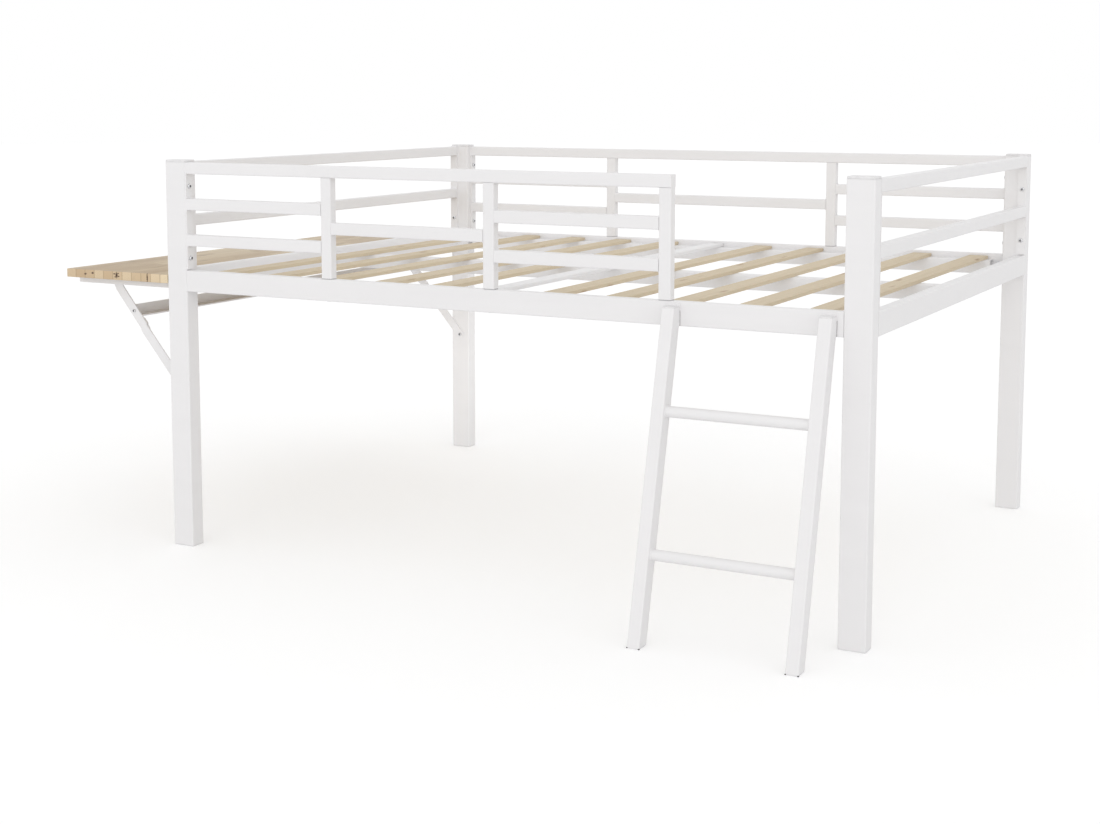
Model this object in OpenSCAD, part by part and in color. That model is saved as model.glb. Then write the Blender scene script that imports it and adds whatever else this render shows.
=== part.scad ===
// Cabin bed: a mid-height steel bunk with slats, guard rails, a leaning ladder
// and a folding wooden desk leaf at one end.
// X runs along the bed from the desk end, Y runs from the ladder side to the
// back, Z is up. The model sits on Z = 0 and is centred in X and Y at the end.

/* [Mattress] */
// Length of the mattress the frame takes
mattress_l = 2032; // [1905:1:2100]
// Width of the mattress the frame takes
mattress_w = 1524; // [1372:1:1600]
// Free room beside the mattress, in each direction
mattress_slack = 16; // [10:1:30]

/* [Posts] */
// Width of a post along the bed
post_w = 70; // [60:1:84]
// Depth of a post across the bed
post_d = 48; // [40:1:60]
// Height of the posts over their caps
post_h = 1133; // [1080:1:1200]
// Wall of the posts and the deep rails
tube_wall = 2; // [1.5:0.1:2.5]
// Thickness of the cap on top of a post
post_cap_t = 7; // [4:0.5:8]
// Thickness of the glide under a post or a ladder stile
foot_t = 4; // [3:0.5:6]
// Length of the plug of a cap or a glide inside its tube
plug_l = 14; // [10:1:20]

/* [Bed frame] */
// Clear height under the side rails
rail_clearance = 754; // [700:1:760]
// Height of the side rails and the end rails
side_rail_h = 61; // [50:1:64]
// Depth of the side rails, the end rails and the guard bars
rail_d = 27; // [22:1:30]
// Section of the ledges and height of the centre beam
ledge_s = 44; // [40:1:46]
// Width of the centre beam
beam_w = 40; // [34:1:50]
// Free length of side rail between a post and the end of a ledge
ledge_end_gap = 33; // [28:1:50]
// Length of the spigots that the rails slide over
spigot_l = 26; // [22:1:27]
// Wall of the spigots
spigot_wall = 3; // [2.5:0.5:4]
// Distance of a rail's bolt from the end of the rail
rail_bolt_inset = 16; // [12:1:18]

/* [Slats] */
// Width of a slat
slat_w = 60; // [45:1:70]
// Thickness of a slat
slat_t = 10; // [8:0.5:12]
// Distance from one slat to the next
slat_pitch = 182.2; // [150:0.1:185]
// Distance from the steel cross bar to the first slat on each side
slat_first = 172; // [120:1:184]
// Free length between the end of a slat and the side rail
slat_end_gap = 2; // [1:0.5:6]
// Width of the steel cross bar in the middle
cross_bar_w = 50; // [40:1:60]
// Thickness of the steel cross bar in the middle
cross_bar_t = 12; // [10:1:14]

/* [Guard rails] */
// Height of the guard bars and width of the guard uprights
guard_bar = 33; // [28:1:36]
// Wall of the guard bars and the uprights
guard_wall = 1.5; // [1.2:0.1:2]
// Free opening above the ladder
ladder_opening = 443; // [430:1:480]
// Centre of the first front upright from the desk end
front_upright_x = 559.5; // [500:0.5:600]
// Distance from the first front upright to the second
front_bay = 512.5; // [480:0.5:530]
// Distance of the back uprights from the middle of the bed
back_upright_x = 405; // [330:1:460]
// Height of the plastic plug that an upright stands on
upright_plug_t = 2; // [1.5:0.5:5]
// Height of the flat heads of the bolts under the uprights
upright_head_t = 1.5; // [1:0.1:3]
// Width of the plates that bolt a guard to a post
plate_w = 28; // [24:1:32]
// Thickness of these plates
plate_t = 5; // [4:0.5:6]
// Gap between the side rail and the foot of a plate
plate_foot_gap = 4; // [3:1:10]
// Distance of a plate's bolts from its outer edge
plate_bolt_inset = 14; // [12:0.5:16]
// Height of an end guard's lower bolt above the side rails
end_bolt_low_rise = 48; // [30:1:80]
// Height of an end guard's upper bolt above the middle bar
end_bolt_high_rise = 53; // [20:1:80]

/* [Bolts] */
// Radius of the bolts' shanks
bolt_r = 4; // [3:0.5:5]
// Radius of the bolts' heads
bolt_head_r = 6.5; // [6:0.5:7]
// Height of the bolts' heads
bolt_head_t = 4.5; // [3:0.5:6]
// Radial room of a bolt in a clearance hole
bolt_clear = 0.3; // [0.2:0.1:0.6]
// Radial room of a bolt in its nut, or of a pivot in its eye
fit_clear = 0.05; // [0.02:0.01:0.1]
// Outer radius of the nuts
nut_r = 6; // [5.5:0.5:7]
// Length of the nuts
nut_l = 8; // [6:1:10]

/* [Desk] */
// Depth of the desk leaf
desk_d = 388; // [330:1:420]
// Thickness of the desk leaf
desk_t = 25; // [22:1:30]
// Gap between the desk leaf and the end rail
desk_gap = 2; // [1.5:0.5:4]
// Height of the desk leaf's underside above the end rail's bottom
desk_lift = 20; // [18:1:24]
// Height of the channels that are the arms under the desk leaf
arm_h = 20; // [18:1:24]
// Width of these channels
arm_w = 24; // [22:1:28]
// Wall of these channels
arm_wall = 2; // [1.5:0.1:2.5]
// Distance from the desk's inner edge to the arms
arm_start = 28; // [26:1:40]
// Distance from the desk's outer edge back to the arms
arm_end_inset = 4; // [2:1:20]
// Distance of the hinge pin's axis from the desk's underside and from the end rail
hinge_drop = 4; // [3.5:0.5:6]
// Length of one hinge
hinge_l = 90; // [60:1:120]
// Thickness of the hinge plates
hinge_t = 2; // [1.5:0.5:2.5]
// Reach of the hinge plates under the desk leaf, from the pin's axis
hinge_reach = 30; // [24:1:40]
// Distance of the hinge plates on the end rail from the rail's bottom
hinge_inset_z = 2; // [1:0.5:4]
// Radius of the hinge pins
hinge_pin_r = 2; // [1.5:0.5:2]
// Radial gap between a hinge barrel and the faces around it
hinge_air = 0.4; // [0.3:0.1:0.6]
// Distance of the outer hinges from the posts
hinge_inset = 161; // [60:1:300]

/* [Stays] */
// Width of the stays
stay_w = 28; // [24:1:30]
// Thickness of the stays
stay_t = 4; // [3:0.5:5]
// Gap between a post and the lower stay, and from one stay to the other
stay_air = 0.5; // [0.4:0.1:0.8]
// Distance of the arm pivot from the desk's inner edge
arm_pivot_out = 245; // [241:1:249]
// Radius of the upper stay's eye inside the arm
arm_eye_r = 9; // [7:0.5:10]
// Room between that eye and the top of the arm's channel
arm_eye_gap = 1; // [0.5:0.1:2]
// Length over which the upper stay widens from that eye
arm_eye_taper = 20; // [14:1:30]
// Radius of the heads of the arm pivots
arm_pivot_head_r = 7; // [6:0.5:8]
// Height of the heads of the arm pivots
arm_pivot_head_t = 3; // [2:0.5:5]
// Distance of the post pivot from the outer face of the bed's end
post_pivot_in = 35; // [32:1:38]
// Height of the post pivot
post_pivot_z = 427; // [424:1:430]
// Height of the heads of the post pivots
post_pivot_head_t = 3.5; // [2.5:0.5:5]
// Distance of the stay's elbow from the outer face of the bed's end
elbow_out = 134.5; // [132:0.5:137]
// Height of the stay's elbow
elbow_z = 625; // [623:1:627]
// Radius of the elbow's rivet
elbow_r = 4; // [3:0.5:5]
// Radius of the head of the elbow's rivet
elbow_head_r = 7; // [6:0.5:8]
// Height of the head of the elbow's rivet
elbow_head_t = 3.5; // [2.5:0.5:5]
// Distance of the cross angle's bolt from the elbow, along the upper stay
cross_bolt_up = 68; // [60:0.1:72]
// Radius of the head of the cross angle's bolt
cross_bolt_head_r = 5; // [4.5:0.1:5.2]
// Height of the head of the cross angle's bolt
cross_bolt_head_t = 4; // [3:0.5:5]
// Height of the cross angle between the two stays
cross_web = 32; // [28:1:40]
// Width of the cross angle
cross_flange = 40; // [30:1:44]
// Thickness of the cross angle
cross_angle_t = 4; // [3:0.5:5]
// Distance of the cross angle's outer face from its bolts' axis
cross_web_out = 11; // [10.5:0.5:13]
// Distance of the cross angle's underside from its bolts' axis
cross_flange_drop = 15; // [13:0.5:17]
// Distance that the cross angle's tabs reach past their bolts' axis
cross_tab_past = 8; // [7:0.5:10]

/* [Ladder] */
// Lean of the ladder from upright
ladder_lean = 13.4; // [10:0.1:16]
// Width of the ladder over its stiles
ladder_w = 433.5; // [380:0.5:440]
// Distance from the right-hand posts to the ladder
ladder_side_gap = 16; // [6:1:24]
// Width of a stile along the bed
stile_w = 33; // [24:1:38]
// Depth of a stile
stile_d = 44; // [36:1:50]
// Height of the ladder over its caps
ladder_top = 805; // [795:1:812]
// Thickness of the caps on top of the stiles
stile_cap_t = 4; // [3:0.5:6]
// Thickness of the plate on the back of a stile
ladder_plate_t = 4; // [3:0.5:6]
// Distance of that plate's ends from the edges of the side rail
ladder_plate_inset = 2; // [1:0.5:5]
// Distance of the ladder's bolts from the top of that plate
ladder_bolt_drop = 7; // [6:0.5:8]
// Metal left of that plate in front of the end of a bolt's hole
ladder_plate_skin = 0.8; // [0.5:0.1:1.5]
// Height of the flat heads of the ladder's bolts
ladder_head_t = 1.5; // [1:0.1:1.8]
// Radius of the rungs
rung_r = 14; // [11:0.5:16]
// Height of the lower rung
rung_low_z = 216.5; // [190:0.5:260]
// Distance from one rung to the next
rung_pitch = 337.5; // [260:0.5:345]

/* [Hidden] */
corner_r = 3;            // rounding of the long edges of the tubes
cap_inset = 0.4;         // caps and glides stand this far inside the tube's faces
plug_air = 0.3;          // room between a plug or spigot and its tube
slats_per_half = 5;      // slats on each side of the steel cross bar
eps = 1;                 // overrun of the cuts
thread_l = 10;           // length of thread past the wall that a bolt enters
stop_gap = 0.4;          // room between the stop lip and the open stay
collar_inset = 1;        // collars under the uprights stand this far inside their faces
$fn = 48;

// Overall sizes
bed_l = mattress_l + mattress_slack + 2 * rail_d;
bed_w = mattress_w + mattress_slack + 2 * post_d;
mid_x = bed_l / 2;
mid_y = bed_w / 2;

// Levels
rail_top = rail_clearance + side_rail_h;
tube_top = post_h - post_cap_t;
guard_low = tube_top - guard_bar;
ledge_top = rail_clearance + ledge_s;
guard_room = guard_low - rail_top;
two_bar_gap = (guard_room - 2 * guard_bar) / 3;
two_bar_z = [rail_top + two_bar_gap, rail_top + 2 * two_bar_gap + guard_bar];
one_bar_z = [rail_top + (guard_room - guard_bar) / 2];
side_bolt_z = [rail_top + two_bar_gap / 2, guard_low - two_bar_gap / 2];
end_bolt_z = [rail_top + end_bolt_low_rise, one_bar_z[0] + guard_bar + end_bolt_high_rise];
rail_bolt_z = rail_clearance + side_rail_h / 2;
ledge_bolt_z = rail_clearance + ledge_s / 2;

// Guards along the bed
plate_x = [post_w + plate_t, bed_l - post_w - plate_t];
front_guard_end = bed_l - post_w - ladder_opening;
front_uprights = [front_upright_x, front_upright_x + front_bay, front_guard_end - guard_bar / 2];
back_uprights = [mid_x - back_upright_x, mid_x + back_upright_x];
plate_low = rail_top + plate_foot_gap;
upright_low = rail_top + upright_plug_t;

// Desk and hinge, in the plane of the bed's end
desk_z = rail_clearance + desk_lift;
desk_outer = -desk_gap - desk_d;
arm_x = [desk_outer + arm_end_inset, -desk_gap - arm_start];
hinge_axis = [-hinge_drop, desk_z - hinge_drop];
barrel_r = hinge_drop - hinge_air;
hinge_y = [post_d + hinge_inset + hinge_l / 2, mid_y, bed_w - post_d - hinge_inset - hinge_l / 2];
arm_screw_x = [-80, -165, -320];
arm_screw_r = 2.5;
arm_screw_head = [4.5, 3];
arm_screw_depth = 16;

// Stays, as [x, z] points in the plane of the bed's end
arm_pivot = [-desk_gap - arm_pivot_out, desk_z - arm_wall - arm_eye_gap - arm_eye_r];
post_pivot = [post_pivot_in, post_pivot_z];
elbow = [-elbow_out, elbow_z];
lower_run = (elbow - post_pivot) / norm(elbow - post_pivot);
upper_run = (arm_pivot - elbow) / norm(arm_pivot - elbow);
stay_bend = abs(lower_run[0] * upper_run[1] - lower_run[1] * upper_run[0]);
cross_bolt = elbow + cross_bolt_up * upper_run;
lower_y = post_d + stay_air;
upper_y = lower_y + stay_t + stay_air;
arm_y = lower_y;         // the arm's outer web lies in the plane of the lower stay
lip = [8, 30, 2];        // start and end past the elbow, and thickness, of the stop lip
lip_side = stay_w / 2 + lip[1] * stay_bend + stop_gap;
cross_tab_t = 4;         // thickness of the tabs at the ends of the cross angle
cross_corner = [cross_bolt[0] - cross_web_out, cross_bolt[1] - cross_flange_drop];

// Ladder
ladder_plate_z = [rail_clearance + ladder_plate_inset, rail_top - ladder_plate_inset];
ladder_bolt_z = ladder_plate_z[1] - ladder_bolt_drop;
stile_back_y = -ladder_plate_t - rail_clearance * tan(ladder_lean);
stile_front_y = stile_back_y - stile_d / cos(ladder_lean);
ladder_x = bed_l - post_w - ladder_side_gap - ladder_w;
stile_x = [ladder_x, ladder_x + ladder_w - stile_w];
rung_z = [rung_low_z, rung_low_z + rung_pitch];

// Centre of the whole model, which becomes its origin
origin_x = (desk_outer + bed_l) / 2;
origin_y = (stile_front_y + bed_w) / 2;

// ---- Shared shapes ----

// Rectangle from the origin with rounded corners
module rounded_rect(a, b, r) {
  for (x = [r, a - r], y = [r, b - r]) translate([x, y]) circle(r);
  translate([r, 0]) square([a - 2 * r, b]);
  translate([0, r]) square([a, b - 2 * r]);
}

// Section of a rectangular tube
module tube_section(a, b, wall, r) {
  difference() {
    rounded_rect(a, b, r);
    translate([wall, wall]) square([a - 2 * wall, b - 2 * wall]);
  }
}

// Stands a section on the low corner p and runs it along one axis of the box s
module run_along(axis, p, s) {
  translate(p)
    if (axis == "x") rotate([90, 0, 90]) linear_extrude(s[0]) children();
    else if (axis == "y") translate([0, 0, s[2]]) rotate([-90, 0, 0]) linear_extrude(s[1]) children();
    else linear_extrude(s[2]) children();
}

// Rectangular tube that fills the box of size s on the low corner p
module tube(axis, p, s, wall = tube_wall, r = corner_r) {
  a = axis == "x" ? s[1] : s[0];
  b = axis == "z" ? s[1] : s[2];
  run_along(axis, p, s) tube_section(a, b, wall, r);
}

// Round bar or cut along an axis, from one point for a signed length
module rod(axis, p, r, l) {
  turn = axis == "x" ? [0, 90, 0] : axis == "y" ? [-90, 0, 0] : [0, 0, 0];
  translate(p) rotate(turn) translate([0, 0, min(0, l)]) cylinder(r = r, h = abs(l));
}

// Clearance hole through the wall at a face point
module wall_hole(axis, p, wall = tube_wall, r = bolt_r + bolt_clear) {
  v = axis == "x" ? [1, 0, 0] : axis == "y" ? [0, 1, 0] : [0, 0, 1];
  rod(axis, p - v * (wall + eps), r, 2 * (wall + eps));
}

// Bolt whose head sits on a face point; dir is the way its shank points
module bolt(axis, p, dir, shank, head_r = bolt_head_r, head_t = bolt_head_t, r = bolt_r) {
  rod(axis, p, head_r, -dir * head_t);
  rod(axis, p, r, dir * shank);
}

// Nut whose near face is at a point
module nut(axis, p, dir, l = nut_l) {
  difference() {
    rod(axis, p, nut_r, dir * l);
    translate(axis == "x" ? [-dir * eps, 0, 0] : [0, -dir * eps, 0])
      rod(axis, p, bolt_r + fit_clear, dir * (l + 2 * eps));
  }
}

// Repeats the front side's shape at the back when side is 1
module on_side(side) {
  if (side == 0) children();
  else translate([0, bed_w, 0]) mirror([0, 1, 0]) children();
}

// Repeats the left end's shape at the right when end is 1
module on_end(end) {
  if (end == 0) children();
  else translate([bed_l, 0, 0]) mirror([1, 0, 0]) children();
}

// ---- Posts ----

// Bolt holes for a side guard, in the inner face of a left-hand post
module side_guard_holes() {
  for (z = side_bolt_z) wall_hole("x", [post_w, plate_bolt_inset, z]);
}

// One post; guard tells whether a side guard bolts to it
module post(end, side, guard, pivot) {
  color("whitesmoke") on_end(end) on_side(side) difference() {
    tube("z", [0, 0, foot_t], [post_w, post_d, tube_top - foot_t]);
    for (z = end_bolt_z) wall_hole("y", [plate_bolt_inset, post_d, z]);
    if (guard) side_guard_holes();
    if (pivot) wall_hole("y", [post_pivot[0], post_d, post_pivot[1]]);
  }
}

// Cap or glide with its plug; dir is the way the plug points
module end_plug(s, t, dir) {
  inner = tube_wall + plug_air;
  translate([cap_inset, cap_inset, 0])
    linear_extrude(t) rounded_rect(s[0] - 2 * cap_inset, s[1] - 2 * cap_inset, corner_r);
  translate([inner, inner, dir > 0 ? t : -plug_l])
    cube([s[0] - 2 * inner, s[1] - 2 * inner, plug_l]);
}

module post_caps() {
  color("white") for (end = [0, 1], side = [0, 1])
    on_end(end) on_side(side) translate([0, 0, tube_top]) end_plug([post_w, post_d], post_cap_t, -1);
}

module post_glides() {
  color("white") for (end = [0, 1], side = [0, 1])
    on_end(end) on_side(side) end_plug([post_w, post_d], foot_t, 1);
}

// ---- Bed frame ----

// Deep rail between two posts, along the bed
module side_rail(side) {
  rail_l = bed_l - 2 * post_w;
  color("whitesmoke") on_side(side) difference() {
    tube("x", [post_w, 0, rail_clearance], [rail_l, rail_d, side_rail_h]);
    for (end = [0, 1]) on_end(end)
      wall_hole("y", [post_w + rail_bolt_inset, rail_d, rail_bolt_z]);
    for (x = side == 0 ? front_uprights : back_uprights, z = [rail_clearance, rail_top])
      wall_hole("z", [x, rail_d / 2, z]);
    if (side == 0) for (x = stile_x)
      rod("y", [x + stile_w / 2, -eps, ladder_bolt_z], bolt_r + bolt_clear, rail_d + 2 * eps);
  }
}

// Deep rail between two posts, across the bed
module end_rail(end) {
  color("whitesmoke") on_end(end) difference() {
    tube("y", [0, post_d, rail_clearance], [rail_d, bed_w - 2 * post_d, side_rail_h]);
    for (side = [0, 1]) on_side(side)
      wall_hole("x", [rail_d, post_d + rail_bolt_inset, rail_bolt_z]);
  }
}

// Spigot that stands on a face and fills the inside of a tube of section a by b
module spigot(axis, p, a, b, wall) {
  inner = wall + plug_air;
  sa = a - 2 * inner;
  sb = b - 2 * inner;
  if (axis == "x")
    tube("x", p + [0, inner, inner], [spigot_l, sa, sb], spigot_wall, corner_r - 1);
  else
    tube("y", p + [inner, 0, inner], [sa, spigot_l, sb], spigot_wall, corner_r - 1);
}

module rail_spigots() {
  depth = tube_wall + plug_air + spigot_wall;
  color("silver") for (end = [0, 1]) on_end(end) {
    for (side = [0, 1]) on_side(side) {
      difference() {
        spigot("x", [post_w, 0, rail_clearance], rail_d, side_rail_h, tube_wall);
        rod("y", [post_w + rail_bolt_inset, rail_d, rail_bolt_z], bolt_r + fit_clear, -depth - eps);
      }
      difference() {
        spigot("y", [0, post_d, rail_clearance], rail_d, side_rail_h, tube_wall);
        rod("x", [rail_d, post_d + rail_bolt_inset, rail_bolt_z], bolt_r + fit_clear, -depth - eps);
      }
    }
    difference() {
      spigot("x", [rail_d, mid_y - beam_w / 2, rail_clearance], beam_w, ledge_s, tube_wall);
      rod("y", [rail_d + rail_bolt_inset, mid_y + beam_w / 2, ledge_bolt_z], bolt_r + fit_clear,
          -depth - eps);
    }
  }
}

// Square tube along a side rail that carries the slats' ends
module ledge(side) {
  start = post_w + ledge_end_gap;
  color("whitesmoke") on_side(side)
    tube("x", [start, rail_d, rail_clearance], [bed_l - 2 * start, ledge_s, ledge_s]);
}

module centre_beam() {
  color("whitesmoke") difference() {
    tube("x", [rail_d, mid_y - beam_w / 2, rail_clearance], [bed_l - 2 * rail_d, beam_w, ledge_s]);
    for (end = [0, 1]) on_end(end)
      wall_hole("y", [rail_d + rail_bolt_inset, mid_y + beam_w / 2, ledge_bolt_z]);
  }
}

// Flat steel tube across the middle, on the ledges and the beam
module cross_bar() {
  y0 = rail_d + slat_end_gap;
  color("whitesmoke")
    tube("y", [mid_x - cross_bar_w / 2, y0, ledge_top], [cross_bar_w, bed_w - 2 * y0, cross_bar_t],
         guard_wall);
}

// Slats are numbered from the desk end
module slat(number) {
  y0 = rail_d + slat_end_gap;
  step = number <= slats_per_half ? number - slats_per_half - 1 : number - slats_per_half;
  x = mid_x + sign(step) * (slat_first + (abs(step) - 1) * slat_pitch);
  color("burlywood") run_along("y", [x - slat_w / 2, y0, ledge_top], [slat_w, bed_w - 2 * y0, slat_t])
    rounded_rect(slat_w, slat_t, 1);
}

// ---- Guard rails ----

// Bars of one bay, between two x positions
module bay_bars(x0, x1, levels) {
  for (z = levels) tube("x", [x0, 0, z], [x1 - x0, rail_d, guard_bar], guard_wall);
}

module upright(x) {
  h = guard_low - upright_low;
  tube("z", [x - guard_bar / 2, 0, upright_low], [guard_bar, rail_d, h], guard_wall);
}

module front_guard_top() {
  l = front_guard_end - plate_x[0];
  color("whitesmoke") {
    tube("x", [plate_x[0], 0, guard_low], [l, rail_d, guard_bar], guard_wall);
    translate([front_guard_end - guard_wall, guard_wall, guard_low + guard_wall])
      cube([guard_wall, rail_d - 2 * guard_wall, guard_bar - 2 * guard_wall]);
  }
}

module front_guard_uprights() {
  color("whitesmoke") for (x = front_uprights) upright(x);
}

module front_guard_bars() {
  h = guard_bar / 2;
  color("whitesmoke") {
    bay_bars(plate_x[0], front_uprights[0] - h, two_bar_z);
    bay_bars(front_uprights[0] + h, front_uprights[1] - h, one_bar_z);
    bay_bars(front_uprights[1] + h, front_uprights[2] - h, two_bar_z);
  }
}

module back_guard_top() {
  color("whitesmoke") on_side(1)
    tube("x", [plate_x[0], 0, guard_low], [plate_x[1] - plate_x[0], rail_d, guard_bar], guard_wall);
}

module back_guard_uprights() {
  color("whitesmoke") on_side(1) for (x = back_uprights) upright(x);
}

module back_guard_bars() {
  h = guard_bar / 2;
  color("whitesmoke") on_side(1) {
    bay_bars(plate_x[0], back_uprights[0] - h, two_bar_z);
    bay_bars(back_uprights[0] + h, back_uprights[1] - h, one_bar_z);
    bay_bars(back_uprights[1] + h, plate_x[1], two_bar_z);
  }
}

// Top bar and middle bar across one end
module end_guard_bars(end) {
  y0 = post_d + plate_t;
  color("whitesmoke") on_end(end) for (z = [one_bar_z[0], guard_low])
    tube("y", [0, y0, z], [rail_d, bed_w - 2 * y0, guard_bar], guard_wall);
}

// Plate on the inner face of a left-hand post that a side guard is welded to
module side_plate() {
  difference() {
    translate([post_w, 0, plate_low]) cube([plate_t, plate_w, tube_top - plate_low]);
    for (z = side_bolt_z)
      rod("x", [post_w - eps, plate_bolt_inset, z], bolt_r + bolt_clear, plate_t + 2 * eps);
  }
}

// Plate on the inner face of a front post that an end guard is welded to
module end_plate() {
  difference() {
    translate([0, post_d, plate_low]) cube([plate_w, plate_t, tube_top - plate_low]);
    for (z = end_bolt_z)
      rod("y", [plate_bolt_inset, post_d - eps, z], bolt_r + bolt_clear, plate_t + 2 * eps);
  }
}

module guard_plates() {
  color("whitesmoke") {
    side_plate();
    for (end = [0, 1]) on_end(end) {
      on_side(1) side_plate();
      for (side = [0, 1]) on_side(side) end_plate();
    }
  }
}

// Plastic collar and plug under each upright, bored for its bolt
module upright_plugs() {
  inner = guard_wall + plug_air;
  plug = [guard_bar - 2 * inner, rail_d - 2 * inner, plug_l];
  color("darkgray") for (side = [0, 1], x = side == 0 ? front_uprights : back_uprights)
    on_side(side) difference() {
      union() {
        translate([x - guard_bar / 2 + collar_inset, collar_inset, rail_top])
          cube([guard_bar - 2 * collar_inset, rail_d - 2 * collar_inset, upright_plug_t]);
        translate([x - plug[0] / 2, inner, upright_low]) cube(plug);
      }
      rod("z", [x, rail_d / 2, rail_top - eps], bolt_r + fit_clear, upright_plug_t + plug_l + 2 * eps);
    }
}

// Long bolts up through the side rails into the plugs
module upright_bolts() {
  color("silver") for (side = [0, 1], x = side == 0 ? front_uprights : back_uprights)
    on_side(side) bolt("z", [x, rail_d / 2, rail_clearance], 1, side_rail_h + upright_plug_t + plug_l,
                       bolt_head_r, upright_head_t);
}

// ---- Bolts and nuts of the frame ----

module frame_bolts() {
  guard_shank = plate_t + tube_wall + thread_l;
  rail_shank = tube_wall + plug_air + spigot_wall + 2;
  color("silver") {
    for (z = side_bolt_z) bolt("x", [plate_x[0], plate_bolt_inset, z], -1, guard_shank);
    for (end = [0, 1]) on_end(end) {
      for (z = side_bolt_z) on_side(1) bolt("x", [plate_x[0], plate_bolt_inset, z], -1, guard_shank);
      for (side = [0, 1]) on_side(side) {
        for (z = end_bolt_z) bolt("y", [plate_bolt_inset, post_d + plate_t, z], -1, guard_shank);
        bolt("y", [post_w + rail_bolt_inset, rail_d, rail_bolt_z], -1, rail_shank);
        bolt("x", [rail_d, post_d + rail_bolt_inset, rail_bolt_z], -1, rail_shank);
      }
      bolt("y", [rail_d + rail_bolt_inset, mid_y + beam_w / 2, ledge_bolt_z], -1, rail_shank);
    }
  }
}

// Nuts behind the posts' walls
module nuts() {
  x = post_w - tube_wall;
  y = post_d - tube_wall;
  color("silver") {
    for (z = side_bolt_z) nut("x", [x, plate_bolt_inset, z], -1);
    for (end = [0, 1]) on_end(end) {
      for (z = side_bolt_z) on_side(1) nut("x", [x, plate_bolt_inset, z], -1);
      for (side = [0, 1], z = end_bolt_z) on_side(side) nut("y", [plate_bolt_inset, y, z], -1);
    }
    for (side = [0, 1]) on_side(side) nut("y", [post_pivot[0], y, post_pivot[1]], -1);
  }
}

// ---- Desk ----

module desk_top() {
  color("burlywood") difference() {
    translate([desk_outer, 0, desk_z]) cube([desk_d, bed_w, desk_t]);
    for (side = [0, 1], x = arm_screw_x) on_side(side)
      rod("z", [x, arm_y + arm_w / 2, desk_z - eps], arm_screw_r + fit_clear, arm_screw_depth + eps);
  }
}

// Channel under one end of the desk leaf, open below
module desk_arm(side) {
  low = desk_z - arm_h;
  l = arm_x[1] - arm_x[0];
  color("whitesmoke") on_side(side) difference() {
    translate([arm_x[0], arm_y, low]) cube([l, arm_w, arm_h]);
    translate([arm_x[0] - eps, arm_y + arm_wall, low - eps])
      cube([l + 2 * eps, arm_w - 2 * arm_wall, arm_h - arm_wall + eps]);
    rod("y", [arm_pivot[0], arm_y - eps, arm_pivot[1]], bolt_r + fit_clear, arm_w + 2 * eps);
    for (x = arm_screw_x)
      rod("z", [x, arm_y + arm_w / 2, desk_z - arm_wall - eps], arm_screw_r + fit_clear, arm_wall + 2 * eps);
  }
}

// Plugs in both ends of both channels
module arm_caps() {
  inner = arm_wall + plug_air;
  color("white") for (side = [0, 1]) on_side(side)
    for (x = [arm_x[0], arm_x[1] - plug_l])
      translate([x, arm_y + inner, desk_z - arm_h]) cube([plug_l, arm_w - 2 * inner, arm_h - inner]);
}

// Screws up through the channels into the desk leaf
module arm_screws() {
  color("silver") for (side = [0, 1], x = arm_screw_x) on_side(side)
    bolt("z", [x, arm_y + arm_w / 2, desk_z - arm_wall], 1, arm_wall + arm_screw_depth - 1,
         arm_screw_head[0], arm_screw_head[1], arm_screw_r);
}

// Barrels of one hinge between two fractions of its length
module barrel(y_mid, from, to) {
  y0 = y_mid - hinge_l / 2;
  difference() {
    rod("y", [hinge_axis[0], y0 + from * hinge_l, hinge_axis[1]], barrel_r, (to - from) * hinge_l);
    rod("y", [hinge_axis[0], y0 - eps, hinge_axis[1]], hinge_pin_r + fit_clear, hinge_l + 2 * eps);
  }
}

// Plates on the end rail, with a barrel at each end of every hinge
module hinge_plates_bed() {
  plate_low_z = rail_clearance + hinge_inset_z;
  third = hinge_l / 3;
  color("silver") for (y = hinge_y) {
    barrel(y, 0, 1 / 3);
    barrel(y, 2 / 3, 1);
    translate([-hinge_t, y - hinge_l / 2, plate_low_z])
      cube([hinge_t, hinge_l, hinge_axis[1] - barrel_r - 2 * hinge_air - plate_low_z]);
    difference() {
      for (s = [0, 2]) translate([-hinge_t, y - hinge_l / 2 + s * third, plate_low_z])
        cube([hinge_t, third, hinge_axis[1] - plate_low_z]);
      rod("y", [hinge_axis[0], y - hinge_l, hinge_axis[1]], hinge_pin_r + 2 * fit_clear, 2 * hinge_l);
    }
  }
}

// Plates under the desk leaf, with the middle barrel of every hinge
module hinge_plates_desk() {
  third = hinge_l / 3;
  air = hinge_air;
  clear_x = hinge_axis[0] - barrel_r - 2 * air;
  top = desk_z;
  color("silver") for (y = hinge_y) {
    barrel(y, 1 / 3 + air / hinge_l, 2 / 3 - air / hinge_l);
    translate([hinge_axis[0] - hinge_reach, y - hinge_l / 2, top - hinge_t])
      cube([clear_x - hinge_axis[0] + hinge_reach, hinge_l, hinge_t]);
    difference() {
      translate([hinge_axis[0] - hinge_reach, y - third / 2 + air, top - hinge_t])
        cube([hinge_reach, third - 2 * air, hinge_t]);
      rod("y", [hinge_axis[0], y - hinge_l, hinge_axis[1]], hinge_pin_r + fit_clear, 2 * hinge_l);
    }
  }
}

module hinge_pins() {
  color("silver") for (y = hinge_y)
    rod("y", [hinge_axis[0], y - hinge_l / 2, hinge_axis[1]], hinge_pin_r, hinge_l);
}

// ---- Stays ----

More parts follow.
